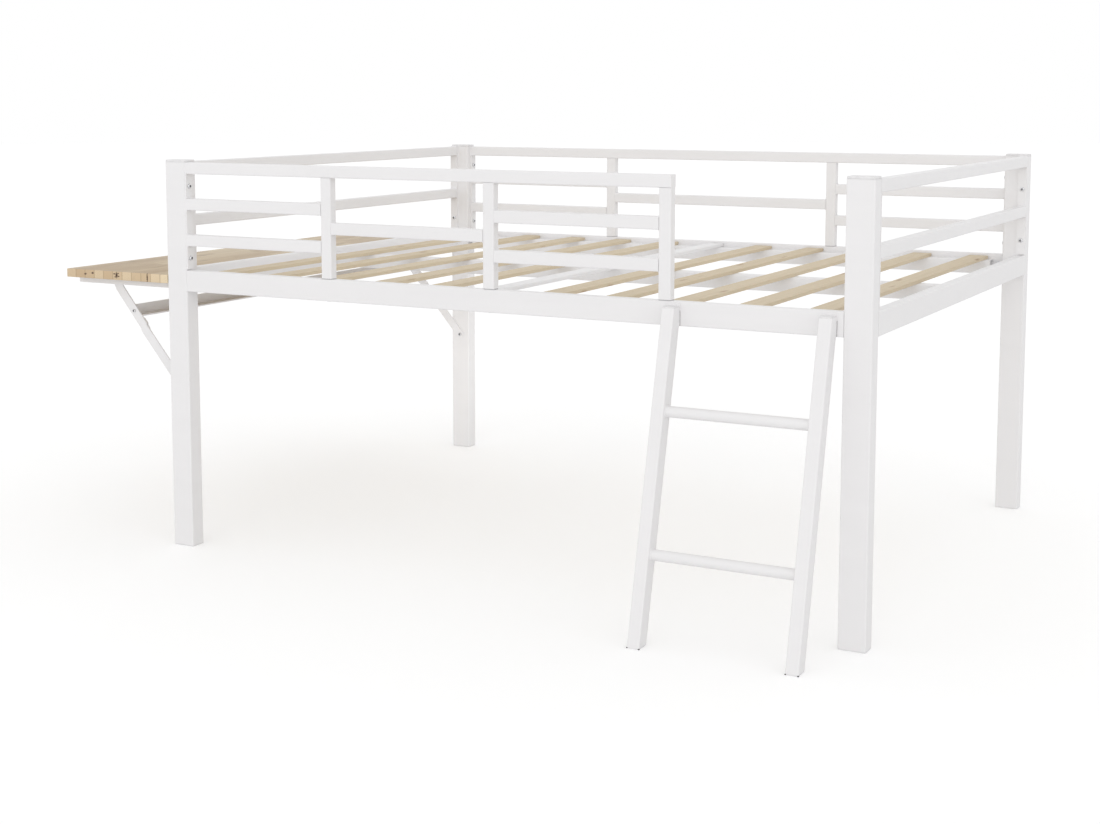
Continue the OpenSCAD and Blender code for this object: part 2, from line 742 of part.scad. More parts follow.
// Flat strap between two [x, z] points, from y0 inward, with round ends; the first may be narrower
module strap(p, q, y0, first_r = stay_w / 2, taper = 0) {
  d = q - p;
  l = norm(d);
  h = stay_w / 2;
  translate([p[0], y0, p[1]]) rotate([0, -atan2(d[1], d[0]), 0]) {
    translate([0, stay_t, 0]) rotate([90, 0, 0]) linear_extrude(stay_t)
      polygon([[0, -first_r], [taper, -h], [l, -h], [l, h], [taper, h], [0, first_r]]);
    rod("y", [0, 0, 0], first_r, stay_t);
    rod("y", [l, 0, 0], h, stay_t);
  }
}

// Lip past the elbow of the lower stay that stops the upper stay when open
module stop_lip() {
  d = elbow - post_pivot;
  reach = lip_side + lip[2];
  rise = 2 * stay_t + 2 * stay_air;
  translate([post_pivot[0], lower_y, post_pivot[1]]) rotate([0, -atan2(d[1], d[0]), 0])
    translate([norm(d), 0, 0]) {
      translate([-stay_w / 2, 0, -stay_w / 2]) cube([stay_w / 2 + lip[1], stay_t, stay_w / 2]);
      translate([lip[0], 0, -reach]) cube([lip[1] - lip[0], stay_t, reach]);
      translate([lip[0], 0, -reach]) cube([lip[1] - lip[0], rise, lip[2]]);
    }
}

// Lower stay, with the flush tail of the elbow's rivet formed in it
module lower_stay(side) {
  color("whitesmoke") on_side(side) difference() {
    union() {
      strap(post_pivot, elbow, lower_y);
      stop_lip();
    }
    rod("y", [post_pivot[0], lower_y - eps, post_pivot[1]], bolt_r + fit_clear, stay_t + 2 * eps);
  }
}

// Upper stay, with the head of the elbow's rivet on its inner face
module upper_stay(side) {
  color("whitesmoke") on_side(side) {
    difference() {
      strap(arm_pivot, elbow, upper_y, arm_eye_r, arm_eye_taper);
      rod("y", [arm_pivot[0], upper_y - eps, arm_pivot[1]], bolt_r + fit_clear, stay_t + 2 * eps);
      rod("y", [cross_bolt[0], upper_y - eps, cross_bolt[1]], bolt_r + fit_clear, stay_t + 2 * eps);
    }
    rod("y", [elbow[0], upper_y + stay_t, elbow[1]], elbow_head_r, elbow_head_t);
  }
}

// Shouldered bolts in the posts that the lower stays turn on
module post_pivots() {
  color("silver") for (side = [0, 1]) on_side(side)
    bolt("y", [post_pivot[0], lower_y + stay_t + fit_clear, post_pivot[1]], -1,
         stay_t + stay_air + tube_wall + nut_l, bolt_head_r, post_pivot_head_t);
}

// Pins through the arms that the upper stays turn on, with a spacer on each side of the stay
module arm_pivots() {
  web_in = arm_y + arm_wall;
  stay_in = upper_y + stay_t;
  back_in = arm_y + arm_w - arm_wall;
  color("silver") for (side = [0, 1]) on_side(side) {
    bolt("y", [arm_pivot[0], arm_y + arm_w, arm_pivot[1]], -1, arm_w, arm_pivot_head_r, arm_pivot_head_t);
    nut("y", [arm_pivot[0], web_in, arm_pivot[1]], 1, upper_y - fit_clear - web_in);
    nut("y", [arm_pivot[0], stay_in + fit_clear, arm_pivot[1]], 1, back_in - stay_in - fit_clear);
  }
}

// Steel angle between the two upper stays, with a tab at each end that bolts to a stay
module cross_angle_bar() {
  y0 = upper_y + stay_t;
  l = bed_w - 2 * y0;
  p = [cross_corner[0], y0, cross_corner[1]];
  tab = [cross_web_out + cross_tab_past, cross_tab_t, cross_flange_drop + cross_tab_past];
  color("gainsboro") difference() {
    union() {
      translate(p) cube([cross_angle_t, l, cross_web]);
      translate(p) cube([cross_flange, l, cross_angle_t]);
      for (side = [0, 1]) on_side(side) translate(p) cube(tab);
    }
    for (side = [0, 1]) on_side(side)
      rod("y", [cross_bolt[0], y0 - eps, cross_bolt[1]], bolt_r + fit_clear, cross_tab_t + 2 * eps);
  }
}

module cross_bolts() {
  y1 = upper_y + stay_t + cross_tab_t;
  color("silver") for (side = [0, 1]) on_side(side) {
    bolt("y", [cross_bolt[0], upper_y, cross_bolt[1]], 1, stay_t + cross_tab_t + nut_l,
         cross_bolt_head_r, cross_bolt_head_t);
    nut("y", [cross_bolt[0], y1, cross_bolt[1]], 1);
  }
}

// ---- Ladder ----

// Front face of the stiles at a height
function stile_front(z) = stile_front_y + z * tan(ladder_lean);

// Leaning bar in a stile's place, reduced by d all round
module stile_bar(x, d, r) {
  translate([x + d, stile_front_y, 0]) rotate([-ladder_lean, 0, 0])
    translate([0, d, -ladder_top / 4]) linear_extrude(ladder_top * 1.5)
      rounded_rect(stile_w - 2 * d, stile_d - 2 * d, r);
}

// Space between two heights, in front of the plates on the ladder's back
module ladder_space(x, z0, z1) {
  translate([x - eps, stile_front_y - stile_d, z0])
    cube([stile_w + 2 * eps, -stile_front_y + stile_d - ladder_plate_t, z1 - z0]);
}

module ladder_stile(number) {
  x = stile_x[number];
  color("whitesmoke") intersection() {
    difference() {
      stile_bar(x, 0, corner_r);
      stile_bar(x, tube_wall, 1);
    }
    ladder_space(x, foot_t, ladder_top - stile_cap_t);
  }
}

// Round tubes between the stiles
module ladder_rungs() {
  l = ladder_w - 2 * stile_w;
  color("whitesmoke") for (z = rung_z) {
    y = stile_front(z) + stile_d / cos(ladder_lean) / 2;
    difference() {
      rod("x", [stile_x[0] + stile_w, y, z], rung_r, l);
      rod("x", [stile_x[0] + stile_w - eps, y, z], rung_r - tube_wall, l + 2 * eps);
    }
  }
}

// Upright plates on the backs of the stiles, flat against the side rail
module ladder_plates() {
  color("whitesmoke") for (x = stile_x) difference() {
    translate([x, -ladder_plate_t, ladder_plate_z[0]])
      cube([stile_w, ladder_plate_t, ladder_plate_z[1] - ladder_plate_z[0]]);
    rod("y", [x + stile_w / 2, ladder_plate_skin - ladder_plate_t, ladder_bolt_z], bolt_r + fit_clear,
        ladder_plate_t);
  }
}

// Caps on the stiles and glides under them
module ladder_caps() {
  top = ladder_top - stile_cap_t;
  front = stile_front(top) + cap_inset;
  color("white") for (x = stile_x) {
    intersection() {
      stile_bar(x, cap_inset, corner_r);
      translate([x, stile_front_y - stile_d, 0]) cube([stile_w, 2 * stile_d, foot_t]);
    }
    intersection() {
      stile_bar(x, tube_wall + plug_air, 1);
      translate([x, stile_front_y - stile_d, foot_t]) cube([stile_w, 3 * stile_d, plug_l]);
    }
    translate([x + cap_inset, front, top])
      linear_extrude(stile_cap_t)
        rounded_rect(stile_w - 2 * cap_inset, -front - ladder_plate_t, 2);
  }
}

// Flat-headed bolts through the side rail into the plates
module ladder_bolts() {
  color("silver") for (x = stile_x)
    bolt("y", [x + stile_w / 2, rail_d, ladder_bolt_z], -1,
         rail_d + ladder_plate_t - ladder_plate_skin - fit_clear, bolt_head_r, ladder_head_t);
}

// ---- Nodes, centred on the whole model ----

translate([-origin_x, -origin_y, 0]) {
  post(0, 0, true, true);  // post_front_left
  post(1, 0, false, false);  // post_front_right
  post(0, 1, true, true);  // post_back_left
  post(1, 1, true, false);  // post_back_right
  post_caps();
  post_glides();
  side_rail(0);  // side_rail_front
  side_rail(1);  // side_rail_back
  end_rail(0);  // end_rail_left
  end_rail(1);  // end_rail_right
  rail_spigots();
  ledge(0);  // ledge_front
  ledge(1);  // ledge_back
  centre_beam();
  cross_bar();
  for (number = [1:2 * slats_per_half])
    slat(number);
  front_guard_top();
  front_guard_uprights();
  front_guard_bars();
  back_guard_top();
  back_guard_uprights();
  back_guard_bars();
  end_guard_bars(0);  // left_guard_bars
  end_guard_bars(1);  // right_guard_bars
  guard_plates();
  upright_plugs();
  upright_bolts();
  frame_bolts();
  nuts();
  desk_top();
  desk_arm(0);  // desk_arm_front
  desk_arm(1);  // desk_arm_back
  arm_caps();
  arm_screws();
  hinge_plates_bed();
  hinge_plates_desk();
  hinge_pins();
  lower_stay(0);  // lower_stay_front
  lower_stay(1);  // lower_stay_back
  post_pivots();
  upper_stay(0);  // upper_stay_front
  upper_stay(1);  // upper_stay_back
  arm_pivots();
  cross_angle_bar();
  cross_bolts();
  ladder_stile(0);  // ladder_stile_left
  ladder_stile(1);  // ladder_stile_right
  ladder_rungs();
  ladder_plates();
  ladder_caps();
  ladder_bolts();
}
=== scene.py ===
"""Dresses the cabin bed: powder-coated steel, pine slats and a laminated desk leaf.

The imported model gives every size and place. Each sub-assembly is a class that
reads its nodes' boxes, adds the pieces that the plain solids lack, and gives
its nodes their finishes. Lengths are in metres.
"""

import logging
import math
from dataclasses import dataclass, field
from enum import Enum
from typing import Callable, Iterable, Optional

import bmesh
import bpy
from mathutils import Matrix, Vector

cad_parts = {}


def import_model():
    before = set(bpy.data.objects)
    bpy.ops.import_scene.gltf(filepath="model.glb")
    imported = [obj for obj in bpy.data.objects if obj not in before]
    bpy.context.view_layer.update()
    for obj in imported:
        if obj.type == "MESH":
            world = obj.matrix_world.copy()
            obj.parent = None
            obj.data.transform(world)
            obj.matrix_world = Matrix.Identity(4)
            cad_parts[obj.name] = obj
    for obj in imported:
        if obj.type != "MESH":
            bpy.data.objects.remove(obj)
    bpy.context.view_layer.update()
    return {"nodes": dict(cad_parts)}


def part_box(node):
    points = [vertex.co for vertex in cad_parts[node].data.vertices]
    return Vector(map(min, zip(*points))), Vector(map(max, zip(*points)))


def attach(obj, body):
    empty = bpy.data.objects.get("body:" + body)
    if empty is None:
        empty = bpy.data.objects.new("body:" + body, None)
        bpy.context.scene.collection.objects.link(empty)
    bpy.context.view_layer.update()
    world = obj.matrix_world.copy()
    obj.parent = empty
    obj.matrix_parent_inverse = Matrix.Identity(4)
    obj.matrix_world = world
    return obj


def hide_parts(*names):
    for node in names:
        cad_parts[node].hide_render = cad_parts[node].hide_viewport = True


LOG = logging.getLogger("cabin_bed")
MM = 0.001

Triple = tuple[float, float, float]
Color = Triple
Socket = bpy.types.NodeSocket
Material = bpy.types.Material
BMesh = bmesh.types.BMesh


class Axis(Enum):
    """An axis of the model, by its index in a vector."""

    X = 0
    Y = 1
    Z = 2

    @property
    def vector(self) -> Vector:
        """The unit vector along the axis."""
        return Vector([1.0 if i == self.value else 0.0 for i in range(3)])


class Body(Enum):
    """The moving bodies that new pieces ride on."""

    BED = "bed"
    DESK = "desk_leaf"
    UPPER_STAYS = "upper_stays"


# ---- Node graphs ----


@dataclass(frozen=True)
class Grain:
    """The settings of a Noise texture."""

    scale: float
    detail: float = 3.0
    rough: float = 0.5


@dataclass(frozen=True)
class Ramp:
    """A value's range and the range that it is mapped to, with its ends held."""

    low: float
    high: float
    to_low: float
    to_high: float


@dataclass(frozen=True)
class Relief:
    """How deep a bump is in metres, and its strength."""

    depth: float
    strength: float


class Graph:
    """A material's node tree, with short ways to add and join its nodes."""

    def __init__(self, name: str) -> None:
        """Makes a material with a Principled shader.

        Args:
            name: The material's name.
        """
        self.material = bpy.data.materials.new(name)
        self.material.use_nodes = True
        self.tree = self.material.node_tree
        self.shader = self.tree.nodes["Principled BSDF"]
        self.place = self.tree.nodes.new("ShaderNodeTexCoord").outputs["Object"]

    def add(self, kind: str, links: Optional[dict] = None, **settings: object) -> bpy.types.Node:
        """Adds a node.

        Args:
            kind: The node's type, without its ShaderNode prefix.
            links: Input names or indices, with a value or an output for each.
            **settings: The node's own properties.

        Returns:
            The new node.
        """
        node = self.tree.nodes.new("ShaderNode" + kind)
        for name, value in settings.items():
            setattr(node, name, value)
        for key, value in (links or {}).items():
            self.feed(node.inputs[key], value)
        return node

    def feed(self, socket: Socket, value: object) -> None:
        """Gives a socket a constant or joins an output to it.

        Args:
            socket: The input to feed.
            value: The output to join, or the constant, which is a Color for a colour.
        """
        if isinstance(value, Socket):
            self.tree.links.new(value, socket)
        elif socket.type == "RGBA":
            socket.default_value = (*value, 1.0)
        else:
            socket.default_value = value

    def fix(self, values: dict[str, float]) -> None:
        """Sets the shader's own sockets."""
        for name, value in values.items():
            self.shader.inputs[name].default_value = value

    def math(self, operation: str, a: object, b: object = 0.0, clamp: bool = False) -> Socket:
        """The output of a Math node."""
        return self.add("Math", {0: a, 1: b}, operation=operation, use_clamp=clamp).outputs[0]

    def plus(self, a: object, b: object, clamp: bool = False) -> Socket:
        """A sum, held between 0 and 1 if asked for."""
        return self.math("ADD", a, b, clamp)

    def minus(self, a: object, b: object) -> Socket:
        """A difference."""
        return self.math("SUBTRACT", a, b)

    def times(self, a: object, b: object) -> Socket:
        """A product."""
        return self.math("MULTIPLY", a, b)

    def split(self, vector: Socket) -> tuple[Socket, ...]:
        """A vector's three parts."""
        return tuple(self.add("SeparateXYZ", {0: vector}).outputs)

    def join(self, x: object, y: object, z: object) -> Socket:
        """A vector of three parts."""
        return self.add("CombineXYZ", {0: x, 1: y, 2: z}).outputs[0]

    def draw(self, number: Socket) -> Socket:
        """The random value that belongs to a number."""
        return self.add("TexWhiteNoise", {"W": number}, noise_dimensions="1D").outputs["Value"]

    def stretched(self, vector: Socket, scale: Triple, offset: Triple = (0.0, 0.0, 0.0)) -> Socket:
        """Coordinates after a scale and an offset."""
        links = {"Vector": vector, "Scale": scale, "Location": offset}
        return self.add("Mapping", links).outputs["Vector"]

    def noise(self, vector: Socket, grain: Grain) -> Socket:
        """The factor of a Noise texture."""
        inputs = {"Scale": grain.scale, "Detail": grain.detail, "Roughness": grain.rough}
        return self.add("TexNoise", {"Vector": vector, **inputs}).outputs[0]

    def cells(self, vector: Socket, scale: float) -> Socket:
        """The distance to the nearest of a Voronoi texture's points."""
        return self.add("TexVoronoi", {"Vector": vector, "Scale": scale}).outputs["Distance"]

    def ramp(self, value: Socket, ramp: Ramp) -> Socket:
        """A value's range mapped to another, with its ends held."""
        values = (value, ramp.low, ramp.high, ramp.to_low, ramp.to_high)
        return self.add("MapRange", dict(enumerate(values)), clamp=True).outputs[0]

    def mix(self, factor: object, a: object, b: object) -> Socket:
        """Blends two colours.

        Args:
            factor: The second colour's share.
            a: A colour or the output that gives it.
            b: The other colour, likewise.

        Returns:
            The blend.
        """
        node = self.add("Mix", data_type="RGBA")
        colors = [s for s in node.inputs if s.type == "RGBA"]
        for socket, value in zip((node.inputs[0], *colors), (factor, a, b)):
            self.feed(socket, value)
        return [s for s in node.outputs if s.type == "RGBA"][0]

    def bump(self, height: Socket, relief: Relief) -> None:
        """Gives the shader a bump."""
        links = {"Strength": relief.strength, "Distance": relief.depth, "Height": height}
        self.feed(self.shader.inputs["Normal"], self.add("Bump", links).outputs["Normal"])

    def paint(self, color: object, roughness: object, metallic: float = 0.0) -> Material:
        """Sets the shader's main sockets.

        Args:
            color: A colour or the output that gives it.
            roughness: A value or the output that gives it.
            metallic: The shader's metallic value.

        Returns:
            The finished material.
        """
        self.feed(self.shader.inputs["Base Color"], color)
        self.feed(self.shader.inputs["Roughness"], roughness)
        self.fix({"Metallic": metallic})
        return self.material


# ---- Finishes ----


@dataclass(frozen=True)
class PowderCoat:
    """Satin powder coat on steel tube, with a fine texture and light handling marks."""

    name: str = "white_powder_coat"
    color: Color = (0.842, 0.832, 0.836)
    shade: Color = (0.812, 0.802, 0.806)
    cloud: Grain = Grain(3.2, 4.0, 0.55)
    streak: Grain = Grain(2.6)
    streak_scale: Triple = (1.4, 1.4, 9.0)
    shading: Ramp = Ramp(0.12, 0.42, 0.55, 0.0)
    rub: Grain = Grain(38.0, 5.0, 0.7)
    roughness: Ramp = Ramp(0.35, 0.7, 0.33, 0.47)
    peel: Grain = Grain(900.0, 2.0, 0.6)
    ripple: Grain = Grain(140.0, 1.0)
    ripple_share: float = 1.4
    relief: Relief = Relief(0.00004, 0.5)
    specular: float = 0.3
    coat: float = 0.05
    coat_roughness: float = 0.22

    def make(self) -> Material:
        """Builds the material.

        Returns:
            The material.
        """
        g = Graph(self.name)
        cloud = g.noise(g.place, self.cloud)
        streak = g.noise(g.stretched(g.place, self.streak_scale), self.streak)
        shaded = g.ramp(g.times(cloud, streak), self.shading)
        rough = g.ramp(g.noise(g.place, self.rub), self.roughness)
        peel = g.noise(g.place, self.peel)
        ripple = g.noise(g.place, self.ripple)
        g.bump(g.plus(peel, g.times(ripple, self.ripple_share)), self.relief)
        g.fix({"Specular IOR Level": self.specular})
        g.fix({"Coat Weight": self.coat, "Coat Roughness": self.coat_roughness})
        return g.paint(g.mix(shaded, self.color, self.shade), rough)


@dataclass(frozen=True)
class Plastic:
    """Moulded plastic with a fine spark-eroded grain."""

    name: str
    color: Color
    roughness: Ramp
    spark: Grain = Grain(1500.0, 2.0, 0.6)
    patch: Grain = Grain(60.0)
    patch_tone: Ramp = Ramp(0.35, 0.7, 0.0, 1.0)
    darker: float = 0.9
    relief: Relief = Relief(0.00003, 0.6)

    def make(self) -> Material:
        """Builds the material.

        Returns:
            The material.
        """
        g = Graph(self.name)
        g.bump(g.noise(g.place, self.spark), self.relief)
        patch = g.noise(g.place, self.patch)
        shade = tuple(c * self.darker for c in self.color)
        color = g.mix(g.ramp(patch, self.patch_tone), self.color, shade)
        return g.paint(color, g.ramp(patch, self.roughness))


@dataclass(frozen=True)
class ZincSteel:
    """Zinc-plated steel with faint spangle and turning marks."""

    name: str = "zinc_plated_steel"
    color: Color = (0.88, 0.88, 0.89)
    shade: Color = (0.72, 0.73, 0.75)
    spangle: float = 420.0
    spangle_tone: Ramp = Ramp(0.0, 0.7, 0.0, 0.8)
    dull: Grain = Grain(220.0, 4.0, 0.6)
    roughness: Ramp = Ramp(0.3, 0.7, 0.28, 0.5)
    turning: Grain = Grain(2600.0, 2.0)
    relief: Relief = Relief(0.00002, 0.5)

    def make(self) -> Material:
        """Builds the material.

        Returns:
            The material.
        """
        g = Graph(self.name)
        g.bump(g.noise(g.place, self.turning), self.relief)
        flake = g.ramp(g.cells(g.place, self.spangle), self.spangle_tone)
        dull = g.ramp(g.noise(g.place, self.dull), self.roughness)
        return g.paint(g.mix(flake, self.color, self.shade), dull, 1.0)


@dataclass(frozen=True)
class Pine:
    """What the slats' pine and the desk's pine share. The grain runs along Y."""

    name: str
    light: Color
    dark: Color
    knot: Color
    ring: float
    late: Ramp
    late_share: float
    warp: Grain
    warp_scale: Triple
    warp_reach: float
    fibre: Grain
    fibre_scale: Triple
    fibre_tone: Ramp
    streak_scale: Triple
    streak_tone: Ramp
    knot_scale: Triple
    knot_edge: Grain
    knot_rag: float
    knot_tone: Ramp
    roughness: Ramp
    relief: Relief
    streak: Grain = Grain(1.0)

    def late_wood(self, g: Graph, radius: Socket, place: Socket) -> Socket:
        """Finds the latewood's share from the distance to the tree's heart.

        Args:
            g: The material's graph.
            radius: The distance to the heart.
            place: The board's own coordinates.

        Returns:
            The share.
        """
        warp = g.noise(g.stretched(place, self.warp_scale), self.warp)
        bent = g.plus(radius, g.times(warp, self.warp_reach))
        return g.ramp(g.math("SINE", g.times(bent, 2 * math.pi / self.ring)), self.late)

    def fibres(self, g: Graph, place: Socket) -> Socket:
        """The fine fibres, in the board's own coordinates."""
        return g.noise(g.stretched(place, self.fibre_scale), self.fibre)

    def grain(self, g: Graph, late: Socket, fibre: Socket) -> Socket:
        """The colour of the rings and the fibres."""
        share = g.plus(g.times(late, self.late_share), g.ramp(fibre, self.fibre_tone), True)
        return g.mix(share, self.light, self.dark)

    def streaked(self, g: Graph, wood: Socket, place: Socket) -> Socket:
        """The wood with its long dark streaks."""
        streak = g.noise(g.stretched(place, self.streak_scale), self.streak)
        return g.mix(g.ramp(streak, self.streak_tone), wood, self.dark)

    def knot_gap(self, g: Graph, place: Socket) -> Socket:
        """The distance to the nearest knot's centre, made ragged."""
        eye = g.cells(g.stretched(place, self.knot_scale), 1.0)
        return g.plus(eye, g.times(g.noise(place, self.knot_edge), self.knot_rag))

    def knotted(self, g: Graph, wood: Socket, place: Socket) -> Socket:
        """The wood with its scattered knots."""
        return g.mix(g.ramp(self.knot_gap(g, place), self.knot_tone), wood, self.knot)


@dataclass(frozen=True)
class SlatPine(Pine):
    """Planed pine slats: each has its own tone, its own rings and a few knots."""

    name: str = "slat_pine"
    light: Color = (0.705, 0.607, 0.45)
    dark: Color = (0.555, 0.44, 0.285)
    knot: Color = (0.34, 0.20, 0.10)
    ring: float = 0.0042
    late: Ramp = Ramp(0.1, 1.0, 0.0, 0.62)
    late_share: float = 0.8
    warp: Grain = Grain(1.6)
    warp_scale: Triple = (9.0, 1.1, 9.0)
    warp_reach: float = 0.055
    fibre: Grain = Grain(1.0)
    fibre_scale: Triple = (420.0, 9.0, 420.0)
    fibre_tone: Ramp = Ramp(0.3, 0.75, 0.0, 0.3)
    streak_scale: Triple = (60.0, 1.6, 60.0)
    streak_tone: Ramp = Ramp(0.45, 0.8, 0.0, 0.45)
    knot_scale: Triple = (20.0, 4.6, 20.0)
    knot_edge: Grain = Grain(90.0)
    knot_rag: float = 0.08
    knot_tone: Ramp = Ramp(0.09, 0.2, 0.75, 0.0)
    roughness: Ramp = Ramp(0.3, 0.7, 0.55, 0.7)
    relief: Relief = Relief(0.00012, 0.5)
    pitch: float = 0.1822
    first_slat: float = 40.5
    slide: float = 7.0
    slat_tone: Ramp = Ramp(0.0, 1.0, 0.0, 0.22)
    bowl_z: float = 0.77
    bowl_rate: float = 9.0
    late_rise: float = 0.5

    def make(self) -> Material:
        """Builds the material.

        Returns:
            The material.
        """
        g = Graph(self.name)
        x, y, z = g.split(g.place)
        run = g.plus(x, self.first_slat * self.pitch)
        tone = g.draw(g.math("FLOOR", g.math("DIVIDE", run, self.pitch)))
        place = g.join(x, g.plus(y, g.times(tone, self.slide)), z)
        bowl = g.math("POWER", g.times(g.minus(z, self.bowl_z), self.bowl_rate), 2.0)
        late = self.late_wood(g, g.plus(x, bowl), place)
        fibre = self.fibres(g, place)
        wood = self.streaked(g, self.grain(g, late, fibre), place)
        wood = g.mix(g.ramp(tone, self.slat_tone), wood, self.dark)
        wood = self.knotted(g, wood, place)
        g.bump(g.plus(g.times(late, self.late_rise), fibre), self.relief)
        return g.paint(wood, g.ramp(fibre, self.roughness))


@dataclass(frozen=True)
class Mark:
    """A dark spot on the desk's front edge: its place from the bed's corner and the
    desk's top, and its half sizes."""

    along: float
    up: float
    half: Triple


SEAM = Mark(-0.078, -0.0125, (0.0021, 0.006, 0.0125))
SPECKS = (
    Mark(-0.317, -0.0125, (0.0036, 0.01, 0.0026)),
    Mark(-0.288, -0.0086, (0.0036, 0.01, 0.0026)),
)
STAR_KNOT = (
    Mark(-0.195, -0.0105, (0.0034, 0.02, 0.0078)),
    Mark(-0.2035, -0.0073, (0.003, 0.02, 0.0018)),
    Mark(-0.1875, -0.0139, (0.0034, 0.02, 0.0018)),
    Mark(-0.1888, -0.0053, (0.0024, 0.02, 0.0017)),
    Mark(-0.2005, -0.0161, (0.0026, 0.02, 0.0017)),
)


@dataclass(frozen=True)
class LaminatedPine(Pine):
    """Glued pine staves that run along Y, each cut from blocks with their own rings."""

    name: str = "laminated_pine"
    light: Color = (0.54, 0.425, 0.28)
    dark: Color = (0.385, 0.27, 0.155)
    knot: Color = (0.07, 0.032, 0.015)
    ring: float = 0.0034
    late: Ramp = Ramp(0.0, 1.0, 0.0, 0.7)
    late_share: float = 0.6
    warp: Grain = Grain(1.5)
    warp_scale: Triple = (14.0, 1.5, 14.0)
    warp_reach: float = 0.03
    fibre: Grain = Grain(1.0, 4.0)
    fibre_scale: Triple = (380.0, 8.0, 380.0)
    fibre_tone: Ramp = Ramp(0.35, 0.8, 0.0, 0.5)
    streak_scale: Triple = (75.0, 1.3, 75.0)
    streak_tone: Ramp = Ramp(0.5, 0.78, 0.0, 0.6)
    knot_scale: Triple = (17.0, 3.4, 17.0)
    knot_edge: Grain = Grain(110.0)
    knot_rag: float = 0.1
    knot_tone: Ramp = Ramp(0.1, 0.19, 0.5, 0.0)
    roughness: Ramp = Ramp(0.3, 0.7, 0.42, 0.58)
    relief: Relief = Relief(0.00018, 0.6)
    pale: Color = (0.63, 0.52, 0.355)
    pale_blocks: Ramp = Ramp(0.55, 1.0, 0.0, 0.8)
    dark_blocks: Ramp = Ramp(0.0, 0.4, 0.5, 0.0)
    end_pale: Color = (0.84, 0.70, 0.49)
    end_dark: Color = (0.52, 0.355, 0.20)
    end_blocks: Ramp = Ramp(0.0, 1.0, 0.75, 0.0)
    end_late: float = 0.55
    end_glue: Ramp = Ramp(0.0004, 0.0022, 0.7, 0.0)
    end_reach: Ramp = Ramp(0.0006, 0.0018, 0.85, 0.0)
    stave: float = 0.036
    block: float = 0.47
    row_slide: float = 3.7
    block_draw: float = 23338.0
    grain_slide: float = 9.0
    heart_x: float = 0.16
    heart_z: tuple[float, float] = (0.12, 0.70)
    glue_line: Ramp = Ramp(0.0, 0.0009, 0.6, 0.0)
    groove: Ramp = Ramp(0.0, 0.0005, 0.0, 1.0)
    fibre_rise: float = 0.5
    mark_rag: Grain = Grain(340.0, 4.0, 0.7)
    mark_rag_reach: float = 2.4
    mark_edge: Ramp = Ramp(0.75, 1.5, 1.0, 0.0)
    coat: float = 0.08
    coat_roughness: float = 0.4
    marks: tuple[Mark, ...] = (SEAM, *STAR_KNOT, *SPECKS)
    bed_x: float = 0.0
    desk_low: Vector = field(default_factory=Vector)
    desk_high: Vector = field(default_factory=Vector)

    def gap(self, g: Graph, place: Socket, length: float) -> Socket:
        """The distance to the nearest joint, in joints that lie a length apart."""
        middle = g.math("ABSOLUTE", g.minus(g.math("FRACT", place), 0.5))
        return g.times(g.minus(0.5, middle), length)

    def blocks(self, g: Graph) -> tuple[Socket, Socket, Socket]:
        """Works out which block a point lies in.

        Args:
            g: The material's graph.

        Returns:
            The block's tone, its three other random values, and the distance
            to the nearest glue line.
        """
        x, y, _ = g.split(g.place)
        row_place = g.math("DIVIDE", g.minus(x, self.desk_low.x), self.stave)
        row = g.math("FLOOR", row_place)
        along = g.plus(g.math("DIVIDE", y, self.block), g.times(g.draw(row), self.row_slide))
        key = g.join(row, g.math("FLOOR", along), self.block_draw)
        chance = g.add("TexWhiteNoise", {"Vector": key}, noise_dimensions="3D").outputs
        glue = g.math("MINIMUM", self.gap(g, row_place, self.stave), self.gap(g, along, self.block))
        return chance["Value"], chance["Color"], glue

    def heart_distance(self, g: Graph, red: Socket, green: Socket) -> Socket:
        """Finds how far a point lies from the heart of its block's tree.

        Args:
            g: The material's graph.
            red: The block's first random value.
            green: The block's second random value.

        Returns:
            The distance.
        """
        x, _, z = g.split(g.place)
        spread, lowest = self.heart_z
        dx = g.minus(g.math("MODULO", x, self.stave), g.times(g.minus(red, 0.5), self.heart_x))
        dz = g.minus(z, g.plus(g.times(green, spread), lowest))
        return g.math("SQRT", g.plus(g.times(dx, dx), g.times(dz, dz)))

    def end_grain(self, g: Graph, wood: Socket, tone: Socket, late: Socket, glue: Socket) -> Socket:
        """Lightens the wood where the staves' ends are cut.

        Args:
            g: The material's graph.
            wood: The colour along the grain.
            tone: The block's tone.
            late: The latewood's share.
            glue: The distance to the nearest glue line.

        Returns:
            The colour with its light ends.
        """
        y = g.split(g.place)[Axis.Y.value]
        near = g.math("MINIMUM", g.minus(y, self.desk_low.y), g.minus(self.desk_high.y, y))
        cut = g.mix(g.ramp(tone, self.end_blocks), self.end_pale, self.end_dark)
        cut = g.mix(g.times(late, self.end_late), cut, self.end_dark)
        cut = g.mix(g.ramp(glue, self.end_glue), cut, self.dark)
        return g.mix(g.ramp(near, self.end_reach), wood, cut)

    def marked(self, g: Graph, wood: Socket) -> Socket:
        """Adds the marks of the front edge, with ragged, soft edges.

        Args:
            g: The material's graph.
            wood: The colour without marks.

        Returns:
            The colour with marks.
        """
        rag = {0: g.minus(g.noise(g.place, self.mark_rag), 0.5), "Scale": self.mark_rag_reach}
        shift = g.add("VectorMath", rag, operation="SCALE").outputs[0]
        factor = 0.0
        for mark in self.marks:
            centre = (self.bed_x + mark.along, self.desk_low.y, self.desk_high.z + mark.up)
            scale = tuple(1.0 / s for s in mark.half)
            offset = tuple(-c * s for c, s in zip(centre, scale))
            links = {0: g.stretched(g.place, scale, offset), 1: shift}
            moved = g.add("VectorMath", links, operation="ADD").outputs[0]
            length = g.add("VectorMath", {0: moved}, operation="LENGTH").outputs["Value"]
            factor = g.math("MAXIMUM", factor, g.ramp(length, self.mark_edge))
        return g.mix(factor, wood, self.knot)

